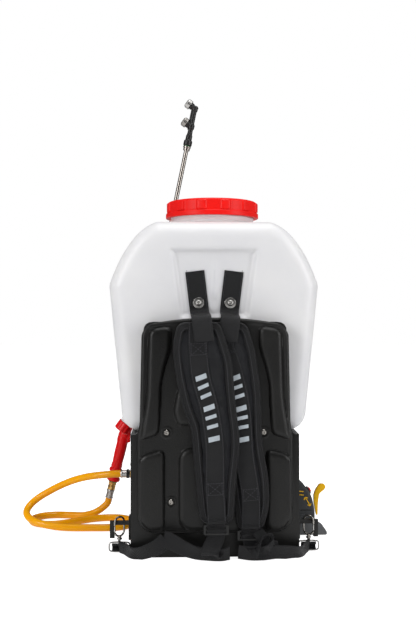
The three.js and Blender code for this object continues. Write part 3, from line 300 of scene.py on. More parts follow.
# %% Plastics
black_plastic = finish_material(
    "black_moulding", (0.0065, 0.0065, 0.0062), (0.012, 0.0117, 0.011), 0.36,
    group=grain_group, size=620.0, strength=0.45, depth=0.0005, drift=9.0, shader={"Specular IOR Level": 0.3})
smooth_black = finish_material(
    "smooth_black", (0.010, 0.010, 0.010), (0.018, 0.018, 0.018), 0.34,
    group=grain_group, size=500.0, strength=0.08, drift=20.0, shader={"Specular IOR Level": 0.34})
dark_plastic = finish_material(
    "grey_black_moulding", (0.030, 0.032, 0.034), (0.052, 0.054, 0.056), 0.42,
    group=grain_group, size=1300.0, strength=0.3, drift=18.0, shader={"Specular IOR Level": 0.3})
grey_plastic = finish_material(
    "grey_moulding", (0.09, 0.095, 0.10), (0.13, 0.135, 0.14), 0.5,
    group=grain_group, size=1300.0, strength=0.3, drift=18.0)
red_plastic = finish_material(
    "red_moulding", (0.72, 0.006, 0.008), (0.60, 0.004, 0.006), 0.3,
    group=grain_group, size=220.0, strength=0.05, drift=11.0,
    shader={"Coat Weight": 0.12, "Coat Roughness": 0.12, "Specular IOR Level": 0.2})
lid_plastic = finish_material(
    "lid_moulding", (0.87, 0.010, 0.007), (0.78, 0.007, 0.005), 0.36,
    group=grain_group, size=260.0, strength=0.06, drift=10.0, shader={"Specular IOR Level": 0.18})
yellow_plastic = finish_material(
    "yellow_moulding", (0.93, 0.52, 0.0), (0.86, 0.44, 0.0), 0.36,
    group=grain_group, size=260.0, strength=0.08, drift=30.0, shader={"Specular IOR Level": 0.25})
hose_plastic = finish_material(
    "orange_hose", (0.96, 0.42, 0.0), (0.90, 0.35, 0.0), 0.24,
    group=grain_group, size=160.0, strength=0.06, drift=16.0,
    shader={"Coat Weight": 0.15, "Coat Roughness": 0.1, "Specular IOR Level": 0.25, "Subsurface Weight": 0.12,
            "Subsurface Radius": (0.006, 0.003, 0.001)})
rubber = finish_material(
    "rubber", (0.015, 0.015, 0.015), (0.03, 0.03, 0.03), 0.75,
    group=grain_group, size=800.0, strength=0.3)
seal_rubber = finish_material(
    "green_seal", (0.006, 0.09, 0.02), (0.01, 0.13, 0.03), 0.4,
    group=grain_group, size=900.0, strength=0.1)
tank_plastic = finish_material(
    "translucent_tank", (0.70, 0.70, 0.72), (0.79, 0.785, 0.785), 0.36,
    group=grain_group, size=90.0, strength=0.12, depth=0.0008, drift=6.0, amount=0.8,
    shader={"Subsurface Weight": 0.45, "Subsurface Radius": (0.03, 0.03, 0.032), "Transmission Weight": 0.0})
fuel_plastic = finish_material(
    "fuel_tank_plastic", (0.62, 0.62, 0.60), (0.70, 0.69, 0.65), 0.4,
    group=grain_group, size=90.0, strength=0.12, drift=9.0,
    shader={"Subsurface Weight": 0.3, "Subsurface Radius": (0.02, 0.02, 0.02)})

# %% Metals
steel = finish_material(
    "plated_steel", (0.56, 0.55, 0.53), (0.44, 0.43, 0.42), 0.26, metallic=1.0,
    group=turning_group, size=600.0, strength=0.15, drift=45.0)
lance_steel = finish_material(
    "stainless_tube", (0.36, 0.33, 0.30), (0.28, 0.255, 0.235), 0.2, metallic=1.0,
    group=turning_group, size=300.0, strength=0.1, drift=20.0)
dark_steel = finish_material(
    "dark_plated_steel", (0.42, 0.40, 0.37), (0.26, 0.245, 0.235), 0.26, metallic=1.0,
    group=turning_group, size=600.0, strength=0.2, drift=60.0)
castings = finish_material(
    "cast_aluminium", (0.42, 0.43, 0.44), (0.32, 0.33, 0.34), 0.5, metallic=0.9,
    group=grain_group, size=900.0, strength=0.55, depth=0.0006, drift=25.0)
brass = finish_material(
    "turned_brass", (0.70, 0.45, 0.16), (0.55, 0.33, 0.11), 0.28, metallic=1.0,
    group=turning_group, size=600.0, strength=0.15, drift=50.0)
hot_metal = finish_material(
    "muffler_steel", (0.13, 0.115, 0.10), (0.22, 0.16, 0.11), 0.42, metallic=1.0,
    group=grain_group, size=600.0, strength=0.25, drift=22.0)

# %% Cloth
nylon = finish_material(
    "nylon_cloth", (0.0026, 0.0029, 0.0045), (0.006, 0.0065, 0.0095), 0.44,
    group=weave_group, size=0.0011, strength=0.5, depth=0.0004, drift=24.0,
    shader={"Specular IOR Level": 0.22, "Sheen Weight": 0.03, "Sheen Roughness": 0.45})
webbing = finish_material(
    "nylon_webbing", (0.0045, 0.0045, 0.0055), (0.009, 0.009, 0.0105), 0.44,
    group=weave_group, size=0.0019, strength=0.8, depth=0.0006, drift=30.0,
    shader={"Specular IOR Level": 0.3, "Sheen Weight": 0.04, "Sheen Roughness": 0.4})
mesh_cloth = finish_material(
    "spacer_mesh", (0.003, 0.003, 0.004), (0.009, 0.009, 0.0105), 0.8,
    group=weave_group, size=0.0024, strength=1.0, depth=0.0009, drift=40.0)
thread = finish_material(
    "sewing_thread", (0.035, 0.035, 0.042), (0.055, 0.055, 0.064), 0.6,
    group=weave_group, size=0.0006, strength=0.3)
reflective = finish_material(
    "reflective_print", (0.48, 0.53, 0.57), (0.36, 0.40, 0.44), 0.34,
    group=weave_group, size=0.0011, strength=0.3, drift=60.0, metallic=0.2)
floor_material = finish_material(
    "white_sweep", (0.93, 0.93, 0.93), (0.95, 0.95, 0.95), 0.8, group=grain_group, size=300.0, strength=0.02,
    shader={"Emission Color": (1, 1, 1, 1)})
floor_tree = floor_material.node_tree
camera_ray = floor_tree.nodes.new("ShaderNodeLightPath").outputs["Is Camera Ray"]
floor_seen = math_node(floor_tree, "MULTIPLY_ADD", camera_ray, FLOOR_GLOW_SEEN)
floor_seen.node.inputs[2].default_value = FLOOR_GLOW
floor_tree.links.new(floor_seen, floor_tree.nodes["Principled BSDF"].inputs["Emission Strength"])
floor_mesh.materials.append(floor_material)
print("materials:", len(bpy.data.materials))

# %% [markdown]
# ## Mesh helpers
# Every piece comes from a few mesh builders: a swept section, a turned profile, a strip with thickness, and
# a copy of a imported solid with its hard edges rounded. `make` turns vertices and faces into an object that
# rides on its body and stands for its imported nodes.


# %% Making a piece
def finish_piece(obj, material, body="frame", slot="black_plastic", stands_for=(), angle=38):
    """Welds, turns the faces outward, shades by angle, and hangs the piece on its body."""
    mesh = obj.data
    work = bmesh.new()
    work.from_mesh(mesh)
    bmesh.ops.remove_doubles(work, verts=work.verts, dist=2e-6)
    bmesh.ops.dissolve_degenerate(work, dist=1e-6, edges=work.edges)
    bmesh.ops.recalc_face_normals(work, faces=work.faces)
    work.to_mesh(mesh)
    work.free()
    mesh.polygons.foreach_set("use_smooth", [True] * len(mesh.polygons))
    mesh.set_sharp_from_angle(angle=math.radians(angle))
    if not mesh.materials:
        mesh.materials.append(material)
    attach(obj, body)
    if stands_for:
        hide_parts(*stands_for)
    return obj


def make(name, verts, faces, material, **options):
    mesh = bpy.data.meshes.new(name)
    mesh.from_pydata([tuple(v) for v in verts], [], faces)
    obj = bpy.data.objects.new(name, mesh)
    bpy.context.scene.collection.objects.link(obj)
    return finish_piece(obj, material, **options)


def merged(parts):
    """Several (verts, faces) as one."""
    verts, faces = [], []
    for more_verts, more_faces in parts:
        base = len(verts)
        verts.extend(more_verts)
        faces.extend([tuple(base + i for i in face) for face in more_faces])
    return verts, faces


def plain_copy(obj):
    """The object's mesh with its modifiers worked out, as a plain mesh."""
    bpy.context.view_layer.update()
    seen = bpy.context.evaluated_depsgraph_get()
    mesh = bpy.data.meshes.new_from_object(obj.evaluated_get(seen))
    obj.modifiers.clear()
    obj.data = mesh
    return obj


# %% Grids, turned profiles and swept sections
def grid_faces(rows, columns, wrap_columns=True, first=0):
    faces = []
    for r in range(rows - 1):
        for c in range(columns if wrap_columns else columns - 1):
            d = (c + 1) % columns
            a = first + r * columns
            b = a + columns
            faces.append((a + c, a + d, b + d, b + c))
    return faces


def frame_of(axis):
    axis = Vector(axis).normalized()
    side = axis.orthogonal().normalized() if abs(axis.z) > 0.99 else axis.cross(Vector((0, 0, 1))).normalized()
    return axis, side, axis.cross(side).normalized()


def turned(profile, root, axis, sides=48, bump=None):
    """A profile of (radius, height) in mm, turned about an axis. `bump(angle, radius, height)` adds to a radius."""
    axis, side, up = frame_of(axis)
    root = Vector(root)
    verts = []
    for radius, height in profile:
        for i in range(sides):
            angle = math.tau * i / sides
            r = radius + (bump(angle, radius, height) if bump and radius > 0 else 0)
            verts.append(root + (side * math.cos(angle) + up * math.sin(angle)) * r * mm + axis * height * mm)
    faces = grid_faces(len(profile), sides)
    if profile[0] != profile[-1]:
        faces.append(tuple(range(sides)))
        faces.append(tuple(range((len(profile) - 1) * sides, len(profile) * sides)))
    return verts, faces


def rounded_profile(profile, radius=0.6, steps=3):
    """The same profile with its corners rounded, so that edges catch the light."""
    out = [profile[0]]
    for before, corner, after in zip(profile, profile[1:], profile[2:]):
        here = Vector(corner)
        back, on = Vector(before) - here, Vector(after) - here
        if back.length < 1e-6 or on.length < 1e-6 or corner[0] == 0:
            out.append(corner)
            continue
        cut = min(radius, back.length * 0.45, on.length * 0.45)
        start, end = here + back.normalized() * cut, here + on.normalized() * cut
        for i in range(steps + 1):
            t = i / steps
            out.append(tuple(start * (1 - t) ** 2 + here * 2 * t * (1 - t) + end * t * t))
    out.append(profile[-1])
    return out


def smooth_path(points, spacing=0.004, closed=False):
    """Even points along a centripetal curve through the given ones."""
    points = [Vector(p) for p in points]
    if closed:
        ends = [points[-1], *points, points[0], points[1]]
    else:
        ends = [points[0] * 2 - points[1], *points, points[-1] * 2 - points[-2]]
    dense = []
    for p0, p1, p2, p3 in zip(ends, ends[1:], ends[2:], ends[3:]):
        t1 = max((p1 - p0).length, 1e-6) ** 0.5
        t2 = t1 + max((p2 - p1).length, 1e-6) ** 0.5
        t3 = t2 + max((p3 - p2).length, 1e-6) ** 0.5
        for i in range(24):
            t = t1 + (t2 - t1) * i / 24
            a1 = p0 * ((t1 - t) / t1) + p1 * (t / t1)
            a2 = p1 * ((t2 - t) / (t2 - t1)) + p2 * ((t - t1) / (t2 - t1))
            a3 = p2 * ((t3 - t) / (t3 - t2)) + p3 * ((t - t2) / (t3 - t2))
            b1 = a1 * ((t2 - t) / t2) + a2 * (t / t2)
            b2 = a2 * ((t3 - t) / (t3 - t1)) + a3 * ((t - t1) / (t3 - t1))
            dense.append(b1 * ((t2 - t) / (t2 - t1)) + b2 * ((t - t1) / (t2 - t1)))
    dense.append(points[0] if closed else points[-1])
    travelled = [0.0]
    for a, b in zip(dense, dense[1:]):
        travelled.append(travelled[-1] + (b - a).length)
    count = max(4, round(travelled[-1] / spacing))
    wanted = np.linspace(0, travelled[-1], count + 1)
    xyz = np.array([tuple(p) for p in dense])
    even = np.stack([np.interp(wanted, travelled, xyz[:, i]) for i in range(3)], 1)
    made = [Vector(p) for p in even]
    return made[:-1] if closed else made


def swept(path, section, up=None, closed=False, size=None):
    """A closed section of (side, up) in mm carried along a path. `size(share)` scales it on the way."""
    count = len(path)
    verts = []
    normal = Vector(up) if up is not None else None
    for i, here in enumerate(path):
        ahead = path[(i + 1) % count] if closed or i < count - 1 else here
        behind = path[i - 1] if closed or i > 0 else here
        tangent = (ahead - behind).normalized()
        if normal is None:
            normal = tangent.orthogonal()
        reference = Vector(up) if up is not None else normal
        normal = (reference - tangent * reference.dot(tangent)).normalized()
        side = tangent.cross(normal).normalized()
        scale = size(i / (count - 1)) if size else 1
        verts.extend(here + (side * a + normal * b) * mm * scale for a, b in section)
    columns = len(section)
    faces = grid_faces(count, columns)
    if closed:
        last = (count - 1) * columns
        faces += [(last + c, last + (c + 1) % columns, (c + 1) % columns, c) for c in range(columns)]
    else:
        faces += [tuple(range(columns)), tuple(range((count - 1) * columns, count * columns))]
    return verts, faces


def circle(radius, sides=20):
    return [(radius * math.cos(math.tau * i / sides), radius * math.sin(math.tau * i / sides)) for i in range(sides)]


def band_section(width, thickness, rounding=0.6):
    """A webbing's cross-section: flat, with soft selvedges."""
    half, deep = width / 2, thickness / 2
    across = [-half + rounding + (width - 2 * rounding) * i / 10 for i in range(11)]
    top = [(x, deep) for x in across]
    foot = [(x, -deep) for x in reversed(across)]
    return top + [(half - 0.15, deep * 0.6), (half, 0), (half - 0.15, -deep * 0.6)] + foot + [
        (-half + 0.15, -deep * 0.6), (-half, 0), (-half + 0.15, deep * 0.6)]


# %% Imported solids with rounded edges
def refined(name, node, material, body="frame", slot="black_plastic", bevel=0.8, angle=32, segments=2):
    """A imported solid, welded, with each hard edge rounded and its faces shaded smooth."""
    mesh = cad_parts[node].data.copy()
    mesh.materials.clear()
    obj = bpy.data.objects.new(name, mesh)
    bpy.context.scene.collection.objects.link(obj)
    work = bmesh.new()
    work.from_mesh(mesh)
    bmesh.ops.remove_doubles(work, verts=work.verts, dist=1e-5)
    bmesh.ops.dissolve_limit(
        work, angle_limit=math.radians(1.5), verts=work.verts, edges=work.edges, delimit={"NORMAL"})
    work.to_mesh(mesh)
    work.free()
    if bevel:
        modifier = obj.modifiers.new("rounding", "BEVEL")
        modifier.width = bevel * mm
        modifier.segments = segments
        modifier.limit_method = "ANGLE"
        modifier.angle_limit = math.radians(angle)
        modifier.use_clamp_overlap = True
        modifier.harden_normals = False
        plain_copy(obj)
    obj.data.materials.clear()
    return finish_piece(obj, material, body=body, slot=slot, stands_for=[node], angle=angle)


# %% [markdown]
# ## The spray hose
# The hose is the free cord of the object, so it comes first. On the real sprayer it is a glossy, reinforced
# plastic hose, 13 mm thick, crimped at both ends. It leaves the pump to the left, lies on the ground in two
# loops and rises to the gun. Its route is given point by point, and a round section follows it.

# %% Spray hose
HOSE_DIAMETER = 0.013
JOINT_GAP, FITTING_LENGTH, FERRULE_LENGTH = 0.3, 16, 16.7
OUTLET_Y, OUTLET_Z = 60, 102
GUN_AXIS = Vector((-0.2346, 0, -0.9721)).normalized()
GUN_FOOT = at(-186, 145, 73)
HOSE_START = at(-166, OUTLET_Y, OUTLET_Z)
HOSE_END = GUN_FOOT + GUN_AXIS * (JOINT_GAP + FITTING_LENGTH + JOINT_GAP + FERRULE_LENGTH + JOINT_GAP) * mm
HOSE_ROUTE = [
    (-190, 62, 100.6), (-210, 68.5, 97.8), (-232.5, 79, 92.8), (-257, 91, 84.5), (-281, 101, 73.5),
    (-302, 108, 62), (-321, 111, 50.5), (-335, 107, 40), (-342, 97, 31.5), (-342, 84, 25),
    (-335, 71, 19.5), (-322, 60, 15), (-304, 52, 11.5), (-282, 47.5, 8.5), (-256, 45.5, 7),
    (-222, 45, 6.7), (-186, 45, 6.7), (-166, 50.4, 6.7), (-151.4, 65, 6.7), (-146, 85, 6.7),
    (-151.4, 105, 6.7), (-166, 119.6, 6.7), (-186, 125, 6.7), (-214, 120, 6.7), (-244, 102, 6.7),
    (-270, 84, 6.7), (-293, 74, 6.7), (-314, 77, 6.7), (-330, 91, 6.7), (-336, 111, 6.7),
    (-331, 131, 6.7), (-317, 146, 6.7), (-297, 152, 6.7), (-268, 149, 6.7), (-242, 144.5, 7.2),
    (-221, 144, 12.5), (-206, 144.8, 21.5),
]
hose_path = smooth_path(
    [HOSE_START, HOSE_START + at(-9, 0, 0), *[at(*p) for p in HOSE_ROUTE], HOSE_END + GUN_AXIS * 9 * mm, HOSE_END],
    spacing=0.004)
spray_hose = make(
    "hose", *swept(hose_path, circle(HOSE_DIAMETER / 2 / mm, 28)), hose_plastic,
    slot="hose_plastic", stands_for=["spray_hose"], angle=60)

# %% [markdown]
# ## Tank
# The real tank is blow-moulded from natural polyethylene: one thin skin with big soft radii, a hollow for the
# strap ends and a threaded neck. Boxes and bevels can't give those radii, so the outer skin is lofted here.
# Rings of the front outline shrink as they turn over the edge and on across each face, and the hollow is a
# smooth offset of the front. The inner skin is the same loft, 4 mm smaller, and a boolean opens the neck.

# %% Tank outline
TANK_FOOT_Z, TANK_TOP_Z = 200, 552
TANK_FOOT_HALF, TANK_TOP_HALF, TANK_FLAT_HALF = 156, 176, 95
TANK_SHOULDER = 107
TANK_FRONT_Y, TANK_REAR_Y = -110, 126
TANK_EDGE = 26
TANK_WALL = 4
NECK_R, NECK_BORE, NECK_RISE = 73, 68, 32
RECESS_FOOT_Z, RECESS_TOP_Z = 391, 505
RECESS_HALF, RECESS_SPREAD = 57, 15
RECESS_DEPTH, RIB_HEIGHT = 8, 3.0


def bezier(p0, p1, p2, p3, steps):
    out = []
    for i in range(steps):
        t = i / steps
        out.append(tuple(
            (1 - t) ** 3 * a + 3 * (1 - t) ** 2 * t * b + 3 * (1 - t) * t * t * c + t ** 3 * d
            for a, b, c, d in zip(p0, p1, p2, p3)))
    return out


def tank_outline(count=216):
    """Even points round the tank's front outline, anticlockwise from the foot's middle."""
    corner = 40
    shoulder = TANK_TOP_Z - TANK_SHOULDER
    span = TANK_TOP_HALF - TANK_FLAT_HALF
    low_bend = (TANK_TOP_HALF - 0.1 * span, shoulder + 0.24 * TANK_SHOULDER)
    high_bend = (TANK_TOP_HALF - 0.44 * span, shoulder + 0.89 * TANK_SHOULDER)
    foot = TANK_FOOT_HALF
    half = [(i * (foot - corner) / 12, TANK_FOOT_Z) for i in range(12)]
    half += bezier(
        (foot - corner, TANK_FOOT_Z), (foot - corner / 3, TANK_FOOT_Z), (foot, TANK_FOOT_Z + corner / 3),
        (foot, TANK_FOOT_Z + corner), 16)
    half += [
        (foot + (TANK_TOP_HALF - foot) * i / 30, TANK_FOOT_Z + corner + (shoulder - TANK_FOOT_Z - corner) * i / 30)
        for i in range(30)]
    half += bezier((TANK_TOP_HALF, shoulder), low_bend, high_bend, (TANK_FLAT_HALF, TANK_TOP_Z), 30)
    half += [(TANK_FLAT_HALF * (1 - i / 12), TANK_TOP_Z) for i in range(13)]
    whole = half + [(-x, z) for x, z in half[-2:0:-1]]
    loop = np.array(whole + [whole[0]])
    steps = np.r_[0, np.cumsum(np.hypot(*np.diff(loop, axis=0).T))]
    wanted = np.linspace(0, steps[-1], count + 1)[:-1]
    return np.stack([np.interp(wanted, steps, loop[:, 0]), np.interp(wanted, steps, loop[:, 1])], 1)


def recess_depth(x, z):
    """Depth of the strap hollow at a point of the front, with its drafted sides and the moulded rib inside."""
    share = min(max((z - RECESS_FOOT_Z) / (RECESS_TOP_Z - RECESS_FOOT_Z), 0), 1)
    half = RECESS_HALF + RECESS_SPREAD * share
    inside = min(half - abs(x), z - RECESS_FOOT_Z, RECESS_TOP_Z - z)
    t = min(max((inside + 3) / 11, 0), 1)
    depth = RECESS_DEPTH * t * t * (3 - 2 * t)
    rib = math.exp(-(x / 4.5) ** 2) * min(max((z - 418) / 14, 0), 1) * min(max((486 - z) / 14, 0), 1)
    return depth - RIB_HEIGHT * rib * t


def tank_skin(inset, hollow):
    """A closed skin: front centre, over the rounded edge, along the depth, over the rear edge to the rear."""
    outline = tank_outline()
    count = len(outline)
    centre = np.array([0.0, (TANK_FOOT_Z + TANK_TOP_Z) / 2])
    ahead, behind = np.roll(outline, -1, 0), np.roll(outline, 1, 0)
    along = ahead - behind
    normal = np.stack([along[:, 1], -along[:, 0]], 1) / np.hypot(*along.T)[:, None]
    front, rear, edge = TANK_FRONT_Y + inset, TANK_REAR_Y - inset, TANK_EDGE - inset
    rim = outline - normal * (inset + edge)
    scales = [1 - i / 46 for i in range(46)]
    rings = [(centre + (rim - centre) * s, front) for s in reversed(scales)]
    for i in range(1, 9):
        turn = math.pi / 2 * i / 9
        rings.append((outline - normal * (inset + edge * (1 - math.sin(turn))), front + edge * (1 - math.cos(turn))))
    rings += [(outline - normal * inset, front + edge + (rear - front - 2 * edge) * i / 20) for i in range(21)]
    for i in range(1, 9):
        turn = math.pi / 2 * (1 - i / 9)
        rings.append((outline - normal * (inset + edge * (1 - math.sin(turn))), rear - edge * (1 - math.cos(turn))))
    rings += [(centre + (rim - centre) * s, rear) for s in scales[::2]]
    verts = []
    for points, y in rings:
        for x, z in points:
            push = recess_depth(x, z) if hollow and y == front else 0
            verts.append(at(x, y + push, z))
    faces = grid_faces(len(rings), count)
    first, last = len(verts), len(verts) + 1
    push = recess_depth(*centre) if hollow else 0
    verts += [at(centre[0], front + push, centre[1]), at(centre[0], rear, centre[1])]
    base = (len(rings) - 1) * count
    faces += [(first, (c + 1) % count, c) for c in range(count)]
    faces += [(last, base + c, base + (c + 1) % count) for c in range(count)]
    return verts, faces


def loose(name, verts, faces):
    """A helper solid for a boolean, welded and facing out."""
    mesh = bpy.data.meshes.new(name)
    mesh.from_pydata([tuple(v) for v in verts], [], faces)
    obj = bpy.data.objects.new(name, mesh)
    bpy.context.scene.collection.objects.link(obj)
    work = bmesh.new()
    work.from_mesh(mesh)
    bmesh.ops.remove_doubles(work, verts=work.verts, dist=1e-6)
    bmesh.ops.recalc_face_normals(work, faces=work.faces)
    work.to_mesh(mesh)
    work.free()
    return obj


def boolean(obj, other, operation):
    modifier = obj.modifiers.new("cut", "BOOLEAN")
    modifier.object = other
    modifier.operation = operation
    modifier.solver = "EXACT"
    plain_copy(obj)
    bpy.data.objects.remove(other)
    return obj


# %% Tank body
DRAIN_AXIS = Vector((-0.6, 0, -0.8))
DRAIN_ROOT = at(-152.3, 0, 203)


def neck_thread(angle, radius, height):
    """A helical thread of two starts round the neck."""
    if radius < NECK_R - 2.5 or height < 5:
        return 0.0
    turn = (height / 7.0 + angle / math.tau) % 1.0
    return 1.0 * max(0.0, 1 - abs(turn - 0.5) * 5)


neck_profile = [(0, -20), (NECK_R + 5, -2), (NECK_R + 2.6, 0.6), (NECK_R + 0.8, 2.0), (NECK_R, 4)]
neck_profile += [(NECK_R, 5 + i * 0.75) for i in range(35)]
neck_profile += [(NECK_R, NECK_RISE), (0, NECK_RISE)]
tank = loose("tank_body", *tank_skin(0, True))
boolean(tank, loose("neck", *turned(
    neck_profile, at(0, 0, TANK_TOP_Z), (0, 0, 1), 160, neck_thread)), "UNION")
boolean(tank, loose("spout", *turned(
    [(0, -24), (13.5, -24), (13.2, -7), (12.4, -4), (12.4, -3), (11, -2.4), (11, 13), (0, 13)],
    DRAIN_ROOT, DRAIN_AXIS, 48)), "UNION")
boolean(tank, loose("tank_inside", *tank_skin(TANK_WALL, True)), "DIFFERENCE")
boolean(tank, loose("bore", *turned(
    [(0, -30), (NECK_BORE, -30), (NECK_BORE, NECK_RISE + 2), (0, NECK_RISE + 2)], at(0, 0, TANK_TOP_Z), (0, 0, 1),
    96)), "DIFFERENCE")
boolean(tank, loose("drain", *turned([(0, -34), (7, -34), (7, 16), (0, 16)], DRAIN_ROOT, DRAIN_AXIS, 32)),
    "DIFFERENCE")
finish_piece(tank, tank_plastic, slot="tank_plastic", stands_for=["tank"], angle=42)
print("tank faces:", len(tank.data.polygons))

# %% Drain cap
def drain_facets(angle, radius, height):
    """Ten finger facets round the cap's outside."""
    return -0.9 * (1 - abs(math.cos(5 * angle))) if radius > 12.5 else 0.0


make(
    "drain_cap_shell", *turned(
        rounded_profile([(0, 14), (11.4, 14), (11.4, 0.3), (13.4, 0.3), (13.4, 15.2), (11.6, 17), (0, 17)], 0.8),
        DRAIN_ROOT, DRAIN_AXIS, 120, drain_facets),
    red_plastic, body="drain_cap", slot="red_plastic", stands_for=["drain_cap"])

# %% [markdown]
# ## Lid
# The lid is an injection-moulded red cap, with a rim band at its foot and twelve grip lugs between two
# recesses. A turned profile whose radius swells at each lug makes them as one skin with soft flanks.

# %% Lid
LID_FOOT, SEAL_FOOT = 565.5, 586.7
LUGS, LUG_RISE = 12, 2.8
LUG_FOOT, LUG_TOP = 8.8, 27.5


def lug_swell(angle, radius, height):
    """The lugs stand between the rim band and the top's edge, and fade at both ends."""
    if radius < 77.5 or not LUG_FOOT < height < LUG_TOP:
        return 0.0
    phase = abs(((angle * LUGS / math.tau) + 0.5) % 1 - 0.5) * 2
    side = min(max((0.46 - phase) / 0.16, 0), 1)
    end = min(1.0, (height - LUG_FOOT) / 1.4, (LUG_TOP - height) / 3.2)
    return LUG_RISE * side * side * (3 - 2 * side) * max(end, 0)


outer = [(82, 0.8), (82, 7.2), (81.4, 8), (79.4, 8.6)]
outer += [(79, 9 + i * 0.95) for i in range(18)]
outer += [(78.6, 26.4), (77.8, 27.6), (76.4, 28.5), (74.5, 29), (73.4, 28.9), (72.6, 28.3), (71.6, 28.2)]
lid_profile = [(0, 24), (74.2, 24), (74.2, 0), (81.4, 0), *outer, (48, 28.0), (46.8, 28.5), (44, 28.7), (0, 28.9)]
make(
    "lid_cap", *turned(lid_profile, at(0, 0, LID_FOOT), (0, 0, 1), 288, lug_swell),
    lid_plastic, body="lid", slot="red_plastic", stands_for=["tank_lid"], angle=34)
make(
    "lid_seal", *turned(rounded_profile(
        [(70.5, 0), (68.2, 0), (68.2, 2.4), (72.8, 2.4), (72.8, 0), (70.5, 0)], 0.7), at(0, 0, SEAL_FOOT), (0, 0, 1),
        96),
    rubber, body="lid_seat", slot="rubber", stands_for=["lid_gasket"])

# %% [markdown]
# ## Strainer
# The basket that hangs in the neck is a moulded cup whose wall is a lattice. A turned cup carries a ring of
# standing ribs and hoops, copied round by Geometry Nodes and turned into plain mesh.


# %% Geometry Nodes helper
def repeated(name, verts, faces, build, material, lines=(), **options):
    """Copies one small mesh by a Geometry Nodes tree that `build` fills, then keeps the result as plain mesh."""
    seed_mesh = bpy.data.meshes.new(name + "_unit")
    seed_mesh.from_pydata([tuple(v) for v in verts], [], faces)
    unit = bpy.data.objects.new(name + "_unit", seed_mesh)
    bpy.context.scene.collection.objects.link(unit)
    line_mesh = bpy.data.meshes.new(name)
    points, edges = [], []
    for line in lines:
        edges += [(len(points) + i, len(points) + i + 1) for i in range(len(line) - 1)]
        points += [tuple(p) for p in line]
    line_mesh.from_pydata(points, edges, [])
    holder = bpy.data.objects.new(name, line_mesh)
    bpy.context.scene.collection.objects.link(holder)
    tree = bpy.data.node_groups.new(name + "_layout", "GeometryNodeTree")
    tree.interface.new_socket("Geometry", in_out="INPUT", socket_type="NodeSocketGeometry")
    unit_socket = tree.interface.new_socket("Unit", in_out="INPUT", socket_type="NodeSocketObject")
    tree.interface.new_socket("Geometry", in_out="OUTPUT", socket_type="NodeSocketGeometry")
    given, result = tree.nodes.new("NodeGroupInput"), tree.nodes.new("NodeGroupOutput")
    info = tree.nodes.new("GeometryNodeObjectInfo")
    tree.links.new(given.outputs["Unit"], info.inputs["Object"])
    instances = build(tree, info.outputs["Geometry"], given.outputs["Geometry"])
    real = tree.nodes.new("GeometryNodeRealizeInstances")
    paint = tree.nodes.new("GeometryNodeSetMaterial")
    paint.inputs["Material"].default_value = material
    tree.links.new(instances, real.inputs[0])
    tree.links.new(real.outputs[0], paint.inputs["Geometry"])
    tree.links.new(paint.outputs["Geometry"], result.inputs["Geometry"])
    modifier = holder.modifiers.new("layout", "NODES")
    modifier.node_group = tree
    modifier[unit_socket.identifier] = unit
    plain_copy(holder)
    bpy.data.objects.remove(unit)
    return finish_piece(holder, material, **options)


def around(count, centre, axis="Z"):
    """Copies the unit round an axis through `centre`; the unit is drawn at its first place."""
    def build(tree, unit, _lines):
        line = tree.nodes.new("GeometryNodeMeshLine")
        line.inputs["Count"].default_value = count
        line.inputs["Offset"].default_value = (0, 0, 0)
        points = tree.nodes.new("GeometryNodeMeshToPoints")
        tree.links.new(line.outputs["Mesh"], points.inputs["Mesh"])
        place = tree.nodes.new("GeometryNodeSetPosition")
        place.inputs["Offset"].default_value = tuple(centre)
        tree.links.new(points.outputs["Points"], place.inputs["Geometry"])
        index = tree.nodes.new("GeometryNodeInputIndex")
        angle = math_node(tree, "MULTIPLY", index.outputs[0], math.tau / count)
        spin = tree.nodes.new("ShaderNodeCombineXYZ")
        tree.links.new(angle, spin.inputs[axis])
        copies = tree.nodes.new("GeometryNodeInstanceOnPoints")
        tree.links.new(place.outputs["Geometry"], copies.inputs["Points"])
        tree.links.new(unit, copies.inputs["Instance"])
        tree.links.new(spin.outputs[0], copies.inputs["Rotation"])
        return copies.outputs["Instances"]
    return build


def at_points(places, turns=None):
    """Copies the unit to each place; `turns` holds one rotation for each, as XYZ angles."""
    def build(tree, unit, _lines):
        joint = tree.nodes.new("GeometryNodeJoinGeometry")
        for i, place in enumerate(places):
            move = tree.nodes.new("GeometryNodeTransform")
            move.inputs["Translation"].default_value = tuple(place)
            if turns:
                move.inputs["Rotation"].default_value = tuple(turns[i])
            tree.links.new(unit, move.inputs["Geometry"])
            tree.links.new(move.outputs["Geometry"], joint.inputs["Geometry"])
        return joint.outputs["Geometry"]
    return build


def along_lines(spacing):
    """Copies the unit, drawn along X at the origin, at even steps along the holder's lines."""
    def build(tree, unit, lines):
        curve = tree.nodes.new("GeometryNodeMeshToCurve")
        even = tree.nodes.new("GeometryNodeResampleCurve")
        even.mode = "LENGTH"
        even.inputs["Length"].default_value = spacing
        tangent = tree.nodes.new("GeometryNodeInputTangent")
        align = tree.nodes.new("FunctionNodeAlignRotationToVector")
        align.axis = "X"
        copies = tree.nodes.new("GeometryNodeInstanceOnPoints")
        tree.links.new(lines, curve.inputs["Mesh"])
        tree.links.new(curve.outputs["Curve"], even.inputs["Curve"])
        tree.links.new(even.outputs["Curve"], copies.inputs["Points"])
        tree.links.new(unit, copies.inputs["Instance"])
        tree.links.new(tangent.outputs[0], align.inputs["Vector"])
        tree.links.new(align.outputs[0], copies.inputs["Rotation"])
        return copies.outputs["Instances"]
    return build


